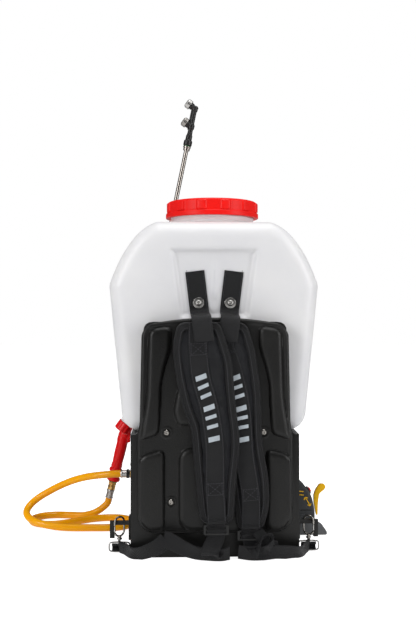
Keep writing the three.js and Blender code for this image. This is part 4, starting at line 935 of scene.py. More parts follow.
def block(x0, x1, y0, y1, z0, z1, bevel=0.5):
    """A block with every edge cut back once; the faces are the box of the three cut corners."""
    work = bmesh.new()
    bmesh.ops.create_cube(work, size=1)
    for v in work.verts:
        v.co = Vector((
            (x0 + x1) / 2 + v.co.x * (x1 - x0), (y0 + y1) / 2 + v.co.y * (y1 - y0),
            (z0 + z1) / 2 + v.co.z * (z1 - z0))) * mm
    bmesh.ops.bevel(work, geom=list(work.edges), offset=bevel * mm, segments=2, affect="EDGES", profile=0.6)
    work.verts.index_update()
    verts = [v.co.copy() for v in work.verts]
    faces = [tuple(v.index for v in f.verts) for f in work.faces]
    work.free()
    return verts, faces


# %% Strainer
make(
    "strainer_cup", *merged([
        turned(rounded_profile([(0, 530.6), (59.6, 530.6), (60.8, 533), (58.8, 533.4), (57.6, 532.6), (0, 532.6)],
        0.5),
               at(0, 0, 0), (0, 0, 1), 72),
        turned([(64.8, 575), (72, 584.3), (72, 586.2), (63.2, 586.2), (62.6, 575), (64.8, 575)],
               at(0, 0, 0), (0, 0, 1), 72),
    ]), smooth_black, body="strainer", slot="black_plastic", stands_for=["fill_strainer"])
rib = swept([at(60, 0, 531.6), at(61.8, 0, 545), at(63.8, 0, 576)],
    [(-1.0, -0.8), (1.0, -0.8), (1.0, 0.8), (-1.0, 0.8)])
repeated("strainer_ribs", *rib, around(36, (0, 0, 0)), smooth_black, body="strainer", slot="black_plastic")
hoops = [turned([(r - 0.7, z), (r + 0.9, z), (r + 0.9, z + 1.4), (r - 0.7, z + 1.4), (r - 0.7, z)],
                at(0, 0, 0), (0, 0, 1), 72) for r, z in [(61.0, 541), (61.9, 549), (62.6, 557), (63.4, 565)]]
make("strainer_hoops", *merged(hoops), smooth_black, body="strainer", slot="black_plastic")
print("tank, lid and strainer made")

# %% [markdown]
# ## Back frame and backrest
# The frame is one black moulding whose walls are flat and hard-edged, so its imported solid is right; only its
# edges need rounding. The backrest in front is soft: six padded cushions rise from one sheet. It is a grid of
# heights over the panel's outline, with each cushion a rounded polygon that swells towards its middle.

# %% Back frame
refined("back_frame", "base_frame", black_plastic, bevel=1.1, segments=2)

# %% Backrest
PANEL_TOP_Z, PANEL_FOOT_Z = 391, 40
PANEL_FRONT_Y, PANEL_BACK_Y = -138.3, -134.3
RELIEF = 8.0
UPPER = [(72, 376), (107, 371), (110, 262), (118, 207), (120, 193), (93, 202), (90, 249), (89, 283), (82, 314),
    (73, 340)]
LOWER = [(84, 176), (122, 166), (123, 68), (108, 46), (84, 46)]
CENTRE_TOP = [(-60, 277), (60, 277), (67, 238), (60, 217), (-60, 217), (-67, 238)]
CENTRE_LOW = [(-58, 178), (58, 178), (58, 46), (-58, 46)]
PANEL_SCREWS = [(-79, 204), (79, 204), (-72, 91), (72, 91)]


def flipped(corners):
    return [(-x, z) for x, z in corners]


def soft_outline(corners, rounding=0.35):
    """The corners as one smooth loop: each is cut back and bridged by a curve."""
    out = []
    count = len(corners)
    for i, corner in enumerate(corners):
        here = Vector(corner)
        back, on = Vector(corners[i - 1]) - here, Vector(corners[(i + 1) % count]) - here
        cut = min(back.length * rounding, on.length * rounding, 22)
        start, end = here + back.normalized() * cut, here + on.normalized() * cut
        for k in range(6):
            t = k / 5
            out.append(tuple(start * (1 - t) ** 2 + here * 2 * t * (1 - t) + end * t * t))
    return out


def resampled(loop, spacing):
    ends = loop + loop[:1]
    steps = np.r_[0, np.cumsum([math.dist(a, b) for a, b in zip(ends, ends[1:])])]
    wanted = np.linspace(0, steps[-1], round(steps[-1] / spacing) + 1)[:-1]
    return list(zip(np.interp(wanted, steps, [p[0] for p in ends]), np.interp(wanted, steps, [p[1] for p in ends])))


def polygon_distance(px, pz, corners):
    """Signed distance to a polygon for arrays of points, positive inside."""
    inside = np.zeros(px.shape, bool)
    nearest = np.full(px.shape, 1e9)
    for (ax, az), (bx, bz) in zip(corners, corners[1:] + corners[:1]):
        ex, ez = bx - ax, bz - az
        t = np.clip(((px - ax) * ex + (pz - az) * ez) / (ex * ex + ez * ez), 0, 1)
        nearest = np.minimum(nearest, np.hypot(px - ax - t * ex, pz - az - t * ez))
        crosses = (az > pz) != (bz > pz)
        with np.errstate(divide="ignore", invalid="ignore"):
            inside ^= crosses & (px < (bx - ax) * (pz - az) / (bz - az) + ax)
    return np.where(inside, nearest, -nearest)


def smoothstep(low_edge, high_edge, value):
    t = np.clip((value - low_edge) / (high_edge - low_edge), 0, 1)
    return t * t * (3 - 2 * t)


def panel_half(z):
    """Half width at each height: wide below the shoulder, narrower above, with rounded corners."""
    half = 127 - 4 * smoothstep(201, 231, z) - 3 * np.clip((z - 231) / 152, 0, 1)
    foot = np.clip((PANEL_FOOT_Z + 30 - z) / 30, 0, 1)
    top = np.clip((z - (PANEL_TOP_Z - 20)) / 20, 0, 1)
    return half - 30 * (1 - np.sqrt(1 - foot ** 2 * 0.999)) - 22 * (1 - np.sqrt(1 - top ** 2 * 0.999))


def panel_top(x):
    """The top edge is domed: highest in the middle."""
    return PANEL_TOP_Z - 11 * np.clip(np.abs(x) / 112, 0, 1.1) ** 2


def panel_relief(x, z, half):
    """Height of the cushions over the sheet, with a piped groove round each and a soft rim at the edge."""
    height = np.zeros(x.shape)
    for corners in (UPPER, flipped(UPPER), LOWER, flipped(LOWER), CENTRE_TOP, CENTRE_LOW):
        d = polygon_distance(x, z, resampled(soft_outline(corners, 0.3), 4))
        roll = np.clip((d + 1.5) / 9.0, 0, 1)
        cushion = RELIEF * np.sqrt(1 - (1 - roll) ** 2) * (1 - 0.12 * np.exp(-np.clip(d, 0, 40) / 14))
        height = np.maximum(height, cushion)
    rim = np.minimum.reduce([half - np.abs(x), z - PANEL_FOOT_Z, panel_top(x) - z])
    height += 1.6 * np.exp(-((rim - 5) / 2.6) ** 2)
    for sx, sz in PANEL_SCREWS:
        well = np.hypot(x - sx, z - sz)
        height = np.where(well < 11, height * smoothstep(6.5, 11, well), height)
        height += 1.0 * np.exp(-((well - 8.2) / 1.1) ** 2)
    return height * smoothstep(0, 3.0, rim + 0.2), rim


def backrest():
    rows, columns = 260, 190
    z = np.linspace(PANEL_FOOT_Z, PANEL_TOP_Z, rows)[:, None] * np.ones((1, columns))
    u = np.linspace(-1, 1, columns)[None, :]
    half = panel_half(z)
    x = u * half
    z = PANEL_FOOT_Z + (z - PANEL_FOOT_Z) * (panel_top(x) - PANEL_FOOT_Z) / (PANEL_TOP_Z - PANEL_FOOT_Z)
    height, rim = panel_relief(x, z, half)
    roll = 2.2 * (1 - np.sqrt(np.clip(1 - ((2.2 - np.clip(rim, 0, 2.2)) / 2.2) ** 2, 0, 1)))
    y = PANEL_FRONT_Y - height + roll
    front = [at(a, b, c) for a, b, c in zip(x.ravel(), y.ravel(), z.ravel())]
    back = [at(a, PANEL_BACK_Y, c) for a, c in zip(x.ravel(), z.ravel())]
    keep = [(r, c) for r in range(rows) for c in range(columns)]
    edge = [i for i, (r, c) in enumerate(keep) if r in (0, rows - 1) or c in (0, columns - 1)]
    place = {i: len(front) + n for n, i in enumerate(edge)}
    verts = front + [back[i] for i in edge]
    faces = grid_faces(rows, columns, wrap_columns=False)
    loop = [c for c in range(columns)]
    loop += [r * columns + columns - 1 for r in range(1, rows)]
    loop += [(rows - 1) * columns + c for c in range(columns - 2, -1, -1)]
    loop += [r * columns for r in range(rows - 2, 0, -1)]
    ring = list(zip(loop, loop[1:] + loop[:1]))
    faces += [(b, a, place[a], place[b]) for a, b in ring]
    faces.append(tuple(place[i] for i in loop))
    return verts, faces


backrest_skin = make("backrest", *backrest(), black_plastic, stands_for=["backrest_panel"], angle=50)
screw_profile = rounded_profile([(0, 3.4), (2.6, 3.4), (2.6, 0), (5, 0), (5, -1.3), (3.4, -3), (1.9, -3.1),
    (1.6, -1.8), (0, -1.8)], 0.3)
for i, (x, z) in enumerate(PANEL_SCREWS):
    make(f"panel_screw_{i + 1}", *turned(screw_profile, at(x, PANEL_FRONT_Y - 0.3, z), (0, 1, 0), 24),
         dark_steel, slot="steel", stands_for=[f"backrest_screw_{i + 1}"])
print("backrest faces:", len(backrest_skin.data.polygons))

# %% [markdown]
# ## Shoulder straps
# Each shoulder strap is a long foam pad in a nylon cover with a mesh edge, 13 mm thick, and the left one lies
# over the right one. Drawing a pad flat would leave it dead, so it is blown up like the real one. A thin slab
# of the cut shape is remeshed, a short cloth simulation with pressure fills it, and it is kept as plain mesh.
# The binding, the webbing down its middle and the stitches are sewn on after that.

# %% Pad outlines
LEFT_PAD = [
    (-61, 383), (4, 383), (13, 360), (25, 321), (29, 262), (38, 192), (30, 120),
    (27, 62), (-25, 62), (-34, 155), (-39, 215), (-52, 246), (-64, 300), (-69, 345)]
RIGHT_PAD = [
    (-30, 383), (49, 383), (62, 342), (72, 274), (74, 190), (85, 130), (86, 88),
    (76, 49), (35, 49), (28, 100), (18, 170), (8, 240), (-12, 300), (-32, 345)]
PAD_DEPTH = 13
PAD_VOXEL, PAD_SWELL_CAP, PAD_FRAMES = 0.0042, 0.005, 20
STITCH_STEP = 0.0042
BARS = 7
RIGHT_BACK_Y, LEFT_BACK_Y = -147.8, -162.3


def shrunk(loop, inset):
    """The loop moved inwards along its normals."""
    out = []
    for i, here in enumerate(loop):
        along = Vector(loop[(i + 1) % len(loop)]) - Vector(loop[i - 1])
        normal = Vector((along.y, -along.x)).normalized()
        out.append((here[0] + normal.x * inset, here[1] + normal.y * inset))

    def area(points):
        return abs(sum(a[0] * b[1] - b[0] * a[1] for a, b in zip(points, points[1:] + points[:1])))

    if area(out) > area(loop):
        return shrunk(loop, -inset)
    return out


# %% Pad cushions
def pad_cushion(name, corners, back, node):
    """Remeshes a slab of the cut shape, fills it by pressure for twenty frames and keeps the result."""
    loop = shrunk(resampled(soft_outline(corners), 6), 3.0)
    front_y, back_y = back - PAD_DEPTH + 4.0, back - 4.0
    verts = [at(x, front_y, z) for x, z in loop] + [at(x, back_y, z) for x, z in loop]
    count = len(loop)
    faces = [tuple(range(count)), tuple(range(count, 2 * count))]
    faces += [(i, (i + 1) % count, count + (i + 1) % count, count + i) for i in range(count)]
    obj = loose(name, verts, faces)
    remesh = obj.modifiers.new("even", "REMESH")
    remesh.mode = "VOXEL"
    remesh.voxel_size = PAD_VOXEL
    plain_copy(obj)
    cloth = obj.modifiers.new("filling", "CLOTH")
    settings = cloth.settings
    settings.use_pressure = True
    settings.uniform_pressure_force = 4.0
    settings.tension_stiffness = 25
    settings.compression_stiffness = 25
    settings.shear_stiffness = 10
    settings.bending_stiffness = 2
    settings.quality = 6
    settings.effector_weights.gravity = 0
    cloth.collision_settings.use_collision = False
    cloth.point_cache.frame_start, cloth.point_cache.frame_end = 1, PAD_FRAMES
    rest = [v.co.copy() for v in obj.data.vertices]
    scene = bpy.context.scene
    for frame_number in range(1, PAD_FRAMES + 1):
        scene.frame_set(frame_number)
    seen = obj.evaluated_get(bpy.context.evaluated_depsgraph_get())
    swollen = [v.co.copy() for v in seen.data.vertices]
    obj.modifiers.clear()
    scene.frame_set(1)
    for vertex, was, now in zip(obj.data.vertices, rest, swollen):
        shift = now - was
        vertex.co = was + (shift if shift.length < PAD_SWELL_CAP else shift.normalized() * PAD_SWELL_CAP)
    work = bmesh.new()
    work.from_mesh(obj.data)
    for _ in range(6):
        bmesh.ops.smooth_vert(work, verts=work.verts, factor=0.5, use_axis_x=True, use_axis_y=True,
            use_axis_z=True)
    work.to_mesh(obj.data)
    work.free()
    for vertex in obj.data.vertices:
        x, y, z = vertex.co / mm
        edge = min(math.hypot(x - a, z - b) for a, b in loop)
        pucker = noise_at(Vector((x / 26, 3.0, z / 9)), noise_basis="PERLIN_ORIGINAL") * math.exp(-edge / 16)
        ripple = noise_at(Vector((x / 40 + z / 90, 9.0, z / 24)), noise_basis="PERLIN_ORIGINAL")
        facing = -1 if y < back - PAD_DEPTH / 2 else 0
        vertex.co.y = min(max(y + facing * (3.4 * pucker + 1.6 * ripple), back - PAD_DEPTH - 1.2), back) * mm
    sub = obj.modifiers.new("smooth", "SUBSURF")
    sub.levels = sub.render_levels = 1
    plain_copy(obj)
    finish_piece(obj, nylon, slot="nylon", stands_for=[node], angle=80)
    return obj


left_pad = pad_cushion("left_pad", LEFT_PAD, LEFT_BACK_Y, "shoulder_pad_left")
right_pad = pad_cushion("right_pad", RIGHT_PAD, RIGHT_BACK_Y, "shoulder_pad_right")
for pad in (left_pad, right_pad):
    ys = [v.co.y / mm for v in pad.data.vertices]
    print(pad.name, len(pad.data.polygons), "faces, y", round(min(ys), 1), round(max(ys), 1))

# %% [markdown]
# ## Sewn parts of the straps
# A binding tape closes each pad's edge, and a webbing runs down its middle. Boxes of stitches hold the
# webbing, and slanted reflective bars are printed on it. The stitches repeat along lines, so a Geometry Nodes
# tree copies one small thread capsule at even steps. Webbing isn't stuffed, so it is modelled directly.

# %% Pad bindings and webbing
LEFT_LINE = [(-29, 381), (-29, 345), (-25, 300), (-11, 246), (-3, 192), (-2, 120), (1, 64)]
RIGHT_LINE = [(10, 381), (15, 345), (29, 300), (41, 240), (46, 170), (56, 100), (56, 52)]
capsule = swept([at(x, 0, 0) for x in (-1.5, -1.1, 0, 1.1, 1.5)], circle(0.42, 6), up=(0, 0, 1),
                size=lambda t: 0.45 + 0.55 * math.sin(math.pi * min(max(t, 0.12), 0.88)))


def pad_dressing(name, corners, back, line):
    """The binding, the mesh border, the middle webbing, its stitches and its bars."""
    loop = resampled(soft_outline(corners), 5)
    middle_y = back - PAD_DEPTH / 2
    edge = [at(x, middle_y, z) for x, z in shrunk(loop, 2.2)]
    tape_section = [(3.1 * math.cos(t), 4.4 * math.sin(t)) for t in np.linspace(0, math.tau, 17)[:-1]]
    make(f"{name}_binding", *swept(smooth_path(edge, 0.004, closed=True), tape_section, up=(0, 1, 0), closed=True),
                webbing, slot="nylon", angle=70)
    rim = [at(x, middle_y, z) for x, z in shrunk(loop, 7.5)]
    border = [(6.4 * math.cos(t), 5.4 * math.sin(t)) for t in np.linspace(0, math.tau, 21)[:-1]]
    make(f"{name}_mesh_border", *swept(smooth_path(rim, 0.005, closed=True), border, up=(0, 1, 0), closed=True),
         mesh_cloth, slot="nylon", angle=70)
    front = back - PAD_DEPTH
    path = smooth_path([at(x, front - 0.7, z) for x, z in line], 0.005)
    make(f"{name}_middle_webbing", *swept(path, band_section(30, 1.7), up=(0, -1, 0)), webbing, slot="nylon",
        angle=50)
    across = []
    for a, b in zip(path, path[1:]):
        along = (b - a).normalized()
        across.append((a, along, Vector((along.z, 0, -along.x))))
    lines = []
    for side in (-13.2, 13.2):
        lines.append([a + cross * side * mm + Vector((0, -1.75 * mm, 0)) for a, _, cross in across])
    for lift in (0.13, 0.84):
        a, along, cross = across[int(len(across) * lift)]
        a = a + Vector((0, -1.75 * mm, 0))
        corner = [a + cross * u * mm + along * v * mm for u, v in ((-11, -9), (11, -9), (11, 9), (-11, 9))]
        lines += [corner + corner[:1], [corner[0], corner[2]], [corner[1], corner[3]]]
    seam = [at(x, front - 0.15, z) for x, z in shrunk(loop, 8.5)]
    lines.append(smooth_path(seam + seam[:1], 0.01))
    repeated(f"{name}_stitches", *capsule, along_lines(STITCH_STEP), thread, lines=lines, slot="nylon", angle=60)
    bars = []
    start, stop = int(len(across) * 0.27), int(len(across) * 0.58)
    for i in range(BARS):
        a, along, cross = across[start + (stop - start) * i // (BARS - 1)]
        tall = 4.6 if i % 3 else 6.4
        flat_bar = []
        for deep in (-1.45, -1.85):
            for u, v in ((-9, -tall - 2), (9, -tall + 2), (9, tall + 2), (-9, tall - 2)):
                flat_bar.append(a + cross * u * mm + along * v * 0.62 * mm + Vector((0, deep * mm, 0)))
        bars.append((flat_bar, [(0, 1, 2, 3), (4, 5, 6, 7), (0, 1, 5, 4), (1, 2, 6, 5), (2, 3, 7, 6), (3, 0, 4, 7)]))
    make(f"{name}_reflective_bars", *merged(bars), reflective, slot="nylon")


pad_dressing("left_pad", LEFT_PAD, LEFT_BACK_Y, LEFT_LINE)
pad_dressing("right_pad", RIGHT_PAD, RIGHT_BACK_Y, RIGHT_LINE)

# %% [markdown]
# ## Webbing, buckles, hooks and rings
# The top webbing is screwed to the tank and folds over the backrest's top edge. The lower webbing falls from
# its ladder buckle, turns on the ground and ends in a wire ring, which hangs in a sprung hook.

# %% Top webbing and its screws
BOLT_X, BOLT_Z = 26.5, 415
for side, name, pad_back in ((-1, "left", LEFT_BACK_Y), (1, "right", RIGHT_BACK_Y)):
    def lean(z):
        return side * (BOLT_X + 0.12 * (z - BOLT_Z))

    wall = TANK_FRONT_Y + RECESS_DEPTH - 1.3
    fall = [(wall, 468), (wall, 440), (wall, 415), (wall - 0.8, 406), (wall - 9, 398.5), (-126, 396.2), (-142, 394.6)]
    front = pad_back - PAD_DEPTH
    fall += [(pad_back - 3, 393.4), (front + 3, 391), (front - 2.2, 385), (front - 3.2, 376), (front - 2.7, 353)]
    path = smooth_path([at(lean(z), y, z) for y, z in fall], 0.003)
    make(f"top_strap_{name}", *swept(path, band_section(32, 2.0), up=(0, -1, 0.001)), webbing, slot="nylon",
         stands_for=[f"top_webbing_{name}"], angle=50)
    edges = [[p + Vector((s * 13.5 * mm, -1.1 * mm, 0)) for p in path[:20]] for s in (-1, 1)]
    repeated(f"top_strap_{name}_stitches", *capsule, along_lines(STITCH_STEP), thread, lines=edges, slot="nylon",
        angle=60)
    seat = at(side * BOLT_X, TANK_FRONT_Y + RECESS_DEPTH - 2.6, BOLT_Z)
    washer = turned(rounded_profile([(0, 0), (9.3, 0), (9.3, -1.3), (5.4, -1.6), (4.6, -1.5), (0, -1.5)], 0.4), seat,
        (0, 1, 0), 48)
    head = turned(rounded_profile([(0, -1), (4.8, -1), (4.8, -2.4), (3.4, -3.7), (2.0, -3.9), (1.7, -2.4), (0, -2.4)],
        0.5),
                  seat, (0, 1, 0), 32)
    make(f"strap_bolt_{name}", *merged([washer, head]), steel, slot="steel", stands_for=[f"strap_screw_{name}"])


# %% Lower webbing
def ribbon(points, across, width=27, thickness=1.9, spacing=0.004):
    """A band through (x, y, z) points; `across` gives its side direction at each of them."""
    path = smooth_path([at(*p) for p in points], spacing)
    count = len(path)
    marks = np.r_[0, np.cumsum([(at(*b) - at(*a)).length for a, b in zip(points, points[1:])])]
    shares = np.linspace(0, marks[-1], count)
    sides = np.stack([np.interp(shares, marks, [a[i] for a in across]) for i in range(3)], 1)
    section = band_section(width, thickness)
    verts = []
    for i, here in enumerate(path):
        tangent = (path[min(i + 1, count - 1)] - path[max(i - 1, 0)]).normalized()
        side = Vector(sides[i])
        side = (side - tangent * side.dot(tangent)).normalized()
        up = side.cross(tangent)
        verts.extend(here + (side * a + up * b) * mm for a, b in section)
    for v in verts:
        v.z = max(v.z, 0.0003)
    columns = len(section)
    faces = grid_faces(count, columns) + [tuple(range(columns)), tuple(range((count - 1) * columns, count * columns))]
    return verts, faces


SIDEWAYS = (1, 0, 0)
left_rise = ribbon(
    [(-158, -102, 9), (-157, -108, 8.6), (-148, -120, 8), (-134, -146, 9.5), (-118, -155, 13), (-103, -159, 19),
    (-90, -160.5, 26), (-80, -159, 35)],
    [(0, -0.6, 0.8), (0, -0.5, 0.9), (0.25, -0.6, 0.7), (0.2, -0.6, 0.8), (-0.15, -0.5, 0.85), (-0.5, -0.3, 0.8),
    (-0.55, -0.2, 0.8), (-0.6, -0.1, 0.8)])
left_return = ribbon(
    [(-84, -158.4, 36), (-72, -162, 33), (-55, -164.5, 24), (-35, -166, 16), (-12, -167, 13), (10, -166.5, 12),
    (22, -163, 14)],
    [(0.5, -0.1, 0.85), (0.45, -0.15, 0.85), (0.35, -0.3, 0.85), (0.1, -0.45, 0.85), (0, -0.5, 0.85), (0, -0.5, 0.85),
    (0, -0.4, 0.9)])
make("lower_strap_left", *merged([left_rise, left_return]), webbing, slot="nylon", stands_for=["lower_webbing_left"],
    angle=50)
right_run = ribbon(
    [(158, -102, 9), (157, -108, 8.6), (150, -122, 8), (137, -147, 9.5), (118, -155, 12), (98, -160, 14),
    (76, -163, 13.4), (55, -163.6, 13), (36, -161, 15)],
    [(0, -0.6, 0.8), (0, -0.5, 0.9), (-0.25, -0.6, 0.7), (-0.2, -0.6, 0.8), (0, -0.45, 0.9), (0.1, -0.4, 0.9),
    (0.15, -0.3, 0.95), (0, -0.4, 0.9), (-0.1, -0.4, 0.9)])
right_coil = ribbon(
    [(55, -154.4, 34), (57, -158, 24), (68, -163.5, 17), (84, -166.5, 20), (94, -165, 31), (88, -162, 38),
    (74, -163, 33), (64, -168, 22), (56, -170, 14)],
    [SIDEWAYS, SIDEWAYS, (0.3, -0.5, 0.8), (0, -0.55, 0.8), (-0.6, -0.5, 0.5), (-0.1, -0.6, 0.8), (0.2, -0.6, 0.75),
    (0.7, -0.4, 0.5), SIDEWAYS],
    width=22)
make("lower_strap_right", *merged([right_run, right_coil]), webbing, slot="nylon", stands_for=["lower_webbing_right"],
    angle=50)
fold = ribbon(
    [(0, -168.8, 62), (0, -168.8, 47), (-1, -171.5, 40), (-5, -176, 32), (-9, -178.5, 24), (-10, -177, 16.5),
    (-7, -171.5, 13.4), (-2, -168, 17), (2, -166.6, 26)],
    [SIDEWAYS] * 9, width=28, thickness=1.8)
make("fold_webbing", *fold, webbing, slot="nylon", angle=50)
tongue = ribbon([(66, -157, 48), (71, -161, 43), (77, -165.5, 35), (82, -166.5, 26), (86, -164, 18)],
                [(1, 0, 0.3)] * 5, width=18, thickness=1.8)
make("tongue_webbing", *tongue, webbing, slot="nylon", angle=50)
for name, x, y, foot_z, top_z in (("left", 0, -168.8, 44, 70), ("right", 55, -154.3, 31, 58)):
    through = ribbon([(x, y - 7.8, top_z), (x, y - 6.4, top_z - 5), (x, y - 1.5, foot_z + 13),
        (x, y - 4.4, foot_z + 8.5),
                      (x, y + 0.4, foot_z + 1)],
                     [SIDEWAYS] * 5, width=29, thickness=1.7, spacing=0.002)
    make(f"buckle_webbing_{name}", *through, webbing, slot="nylon", angle=50)

# %% Buckles, hooks and rings
HOOK_X, HOOK_Y = 158, -100
HOOK_TURN = math.radians(35)
RING_BEND = 3.5
for side, name in ((-1, "left"), (1, "right")):
    refined(f"ladder_buckle_{name}", f"slider_buckle_{name}", smooth_black, bevel=0.8, segments=3)
    refined(f"claw_{name}", f"hook_ear_{name}", black_plastic, bevel=0.8)

    def in_loop(u, z):
        return at(side * (HOOK_X + u * math.cos(HOOK_TURN)), HOOK_Y - u * math.sin(HOOK_TURN), z)

    arc = [in_loop(9, 45.5), in_loop(9, 49)]
    arc += [in_loop(9 * math.cos(a), 50 + 9 * math.sin(a)) for a in np.linspace(0, math.pi, 9)]
    arc += [in_loop(9 * math.cos(a), 36 + 9 * math.sin(a)) for a in np.linspace(math.pi, math.pi * 11 / 6, 8)]
    arc.append(in_loop(9, 33.4))
    eye = [at(side * HOOK_X, HOOK_Y + 4.6 * math.cos(a), 17.7 + 4.6 * math.sin(a)) for a in np.linspace(0, math.tau,
        33)[:-1]]
    barrel = turned(rounded_profile([(0, 1), (3.4, 1), (3.4, -1), (2.6, -1.6), (2.6, -2.4), (4.2, -3), (4.2, -5.5),
        (0, -5.5)], 0.4),
                    at(side * HOOK_X, HOOK_Y, 27), (0, 0, 1), 28)
    make(f"snap_hook_body_{name}", *merged([
        swept(smooth_path(arc, 0.0016), circle(1.7, 14)), swept(eye, circle(1.6, 12), closed=True), barrel]),
        dark_steel, slot="dark_metal", stands_for=[f"snap_hook_{name}"], angle=45)
    gate_root, gate_tip = in_loop(9, 35.5), in_loop(9, 44.1)
    make(f"snap_gate_{name}", *turned(
        rounded_profile([(0, 0), (1.6, 0), (1.6, 2), (1.2, 2.8), (1.2, 8.6), (0, 8.6)], 0.3), gate_root,
        gate_tip - gate_root, 16),
        steel, body=f"hook_gate_{name}", slot="steel", stands_for=[f"hook_gate_{name}"])
    corners = [(-17, 16.4), (17, 16.4), (17, 1.9), (-17, 1.9)]
    wire = []
    for (ax, az), (bx, bz) in zip(corners, corners[1:] + corners[:1]):
        reach = Vector((bx - ax, 0, bz - az))
        unit = reach.normalized() * RING_BEND
        wire += [Vector((ax, HOOK_Y, az)) + unit, Vector((bx, HOOK_Y, bz)) - unit]
        step = Vector((bx, HOOK_Y, bz))
        following = {(17, 16.4): (0, -1), (17, 1.9): (-1, 0), (-17, 1.9): (0, 1), (-17, 16.4): (1, 0)}[(bx, bz)]
        wire.append(step - unit * 0.30 + Vector((following[0], 0, following[1])) * RING_BEND * 0.30)
    ring_points = [Vector((side * HOOK_X + p.x, p.y, p.z)) * mm for p in wire]
    make(f"webbing_ring_{name}", *swept(smooth_path(ring_points, 0.0012, closed=True), circle(1.3, 12), up=(0, 1, 0),
        closed=True),
         steel, slot="steel", stands_for=[f"strap_ring_{name}"], angle=50)
    cuff = ribbon([(side * HOOK_X, -106, 13), (side * HOOK_X, -101, 14.6), (side * HOOK_X, -96.6, 11),
        (side * HOOK_X, -97, 6), (side * HOOK_X, -103, 4)],
                  [(side, 0, 0)] * 5, width=25, thickness=1.6, spacing=0.002)
    make(f"ring_cuff_{name}", *cuff, webbing, slot="nylon", angle=50)
print("harness made")

# %% [markdown]
# ## Gun, fittings and ferrules
# The gun is a slim red grip with a long groove, three rings at its foot and a head that takes the lance. The
# grip is turned with its radius pressed in along the groove, which keeps one clean skin. Brass hex fittings
# and crimped steel ferrules join it to the hose.

# %% Gun
GUN_TOP = at(-165, 145, 160)
LANCE_ROOT, LANCE_TOP = at(-153.3, 145, 186), at(-42.5, 145, 722)
LANCE_AXIS = (LANCE_TOP - LANCE_ROOT).normalized()
LANCE_LENGTH = (LANCE_TOP - LANCE_ROOT).length / mm
grip_length = (GUN_FOOT - GUN_TOP).length / mm
GROOVE_TOP, GROOVE_FOOT = 8, grip_length - 32


def grip_groove(angle, radius, height):
    """A long groove on the two sides that face forwards and back."""
    if not GROOVE_TOP < height < GROOVE_FOOT or radius < 8:
        return 0.0
    end = min(1.0, (height - GROOVE_TOP) / 6, (GROOVE_FOOT - height) / 6)
    across = min(abs((angle - math.pi / 2 + math.pi) % math.tau - math.pi),
                 abs((angle + math.pi / 2 + math.pi) % math.tau - math.pi))
    return -1.5 * end * math.exp(-(across / 0.42) ** 4)


grip_profile = [(0, 0), (9.5, 0.2), (11.2, 1.6)]
grip_profile += [(11.4 + 0.9 * math.sin(math.pi * i / 30) - 0.7 * i / 30,
    3 + (grip_length - 32) * i / 30) for i in range(31)]
for i in range(3):
    h = grip_length - 25 + i * 9
    grip_profile += [(10.0, h - 1.6), (11.9, h - 0.4), (12.5, h + 0.8), (12.5, h + 4.2), (11.9, h + 5.4),
        (10.0, h + 6.4)]
grip_profile += [(9.8, grip_length - 0.6), (0, grip_length - 0.5)]
grip = turned(grip_profile, GUN_TOP, GUN_FOOT - GUN_TOP, 72, grip_groove)
head_axis = LANCE_ROOT - GUN_TOP
head_length = head_axis.length / mm
gun_head = turned(
    rounded_profile([(0, -5), (9, -5), (11.6, -1), (11.4, 8), (9.9, 11), (9.9, 19), (8.9, 20), (8.9, head_length),
    (0, head_length)], 0.8),
    GUN_TOP, head_axis, 48)
pivot = turned(rounded_profile([(0, -9), (4.6, -9), (4.6, 9), (0, 9)], 0.8), at(-157, 145, 157), (0, 1, 0), 28)
make("gun_body", *merged([grip, gun_head, block(-166, -152.6, 137, 153, 148, 166, 2.0), pivot]),
     red_plastic, slot="red_plastic", stands_for=["gun_handle"], angle=40)
refined("trigger", "gun_trigger", smooth_black, body="gun_trigger", bevel=1.4, segments=3)

# %% Brass fittings and ferrules
def hexagon(angle, radius, height):
    """Cuts a round section back to the flats of a nut."""
    return radius * (math.cos(math.pi / 6) / math.cos((angle % (math.pi / 3)) - math.pi / 6) - 1)


fitting_root = GUN_FOOT + GUN_AXIS * JOINT_GAP * mm
hex_part = turned(rounded_profile([(0, 0), (8.6, 0), (8.6, 6.4), (0, 6.4)], 0.5), fitting_root, GUN_AXIS, 72, hexagon)
barbed = turned(rounded_profile([(0, 6), (6.3, 6), (6.3, 8), (7.4, 8.6), (7.4, 15.9), (0, 15.9)], 0.4), fitting_root,
    GUN_AXIS, 36)
make("gun_nut", *merged([hex_part, barbed]), brass, slot="brass", stands_for=["gun_fitting"])
o_ring = [(8.0 + 1.5 * math.cos(t), 0.6 + 1.3 * math.sin(t)) for t in np.linspace(0, math.tau, 17)]
o_ring[-1] = o_ring[0]
make("gun_o_ring", *turned(o_ring, fitting_root - GUN_AXIS * 1.0 * mm, GUN_AXIS, 40), seal_rubber, slot="rubber")


def crimped(angle, radius, height):
    """Eight shallow crimp flats between the ferrule's plain ends."""
    if not 4 < height < 13.5 or radius < 6.9:
        return 0.0
    return -0.55 * (0.5 + 0.5 * math.cos(8 * angle)) - 0.25


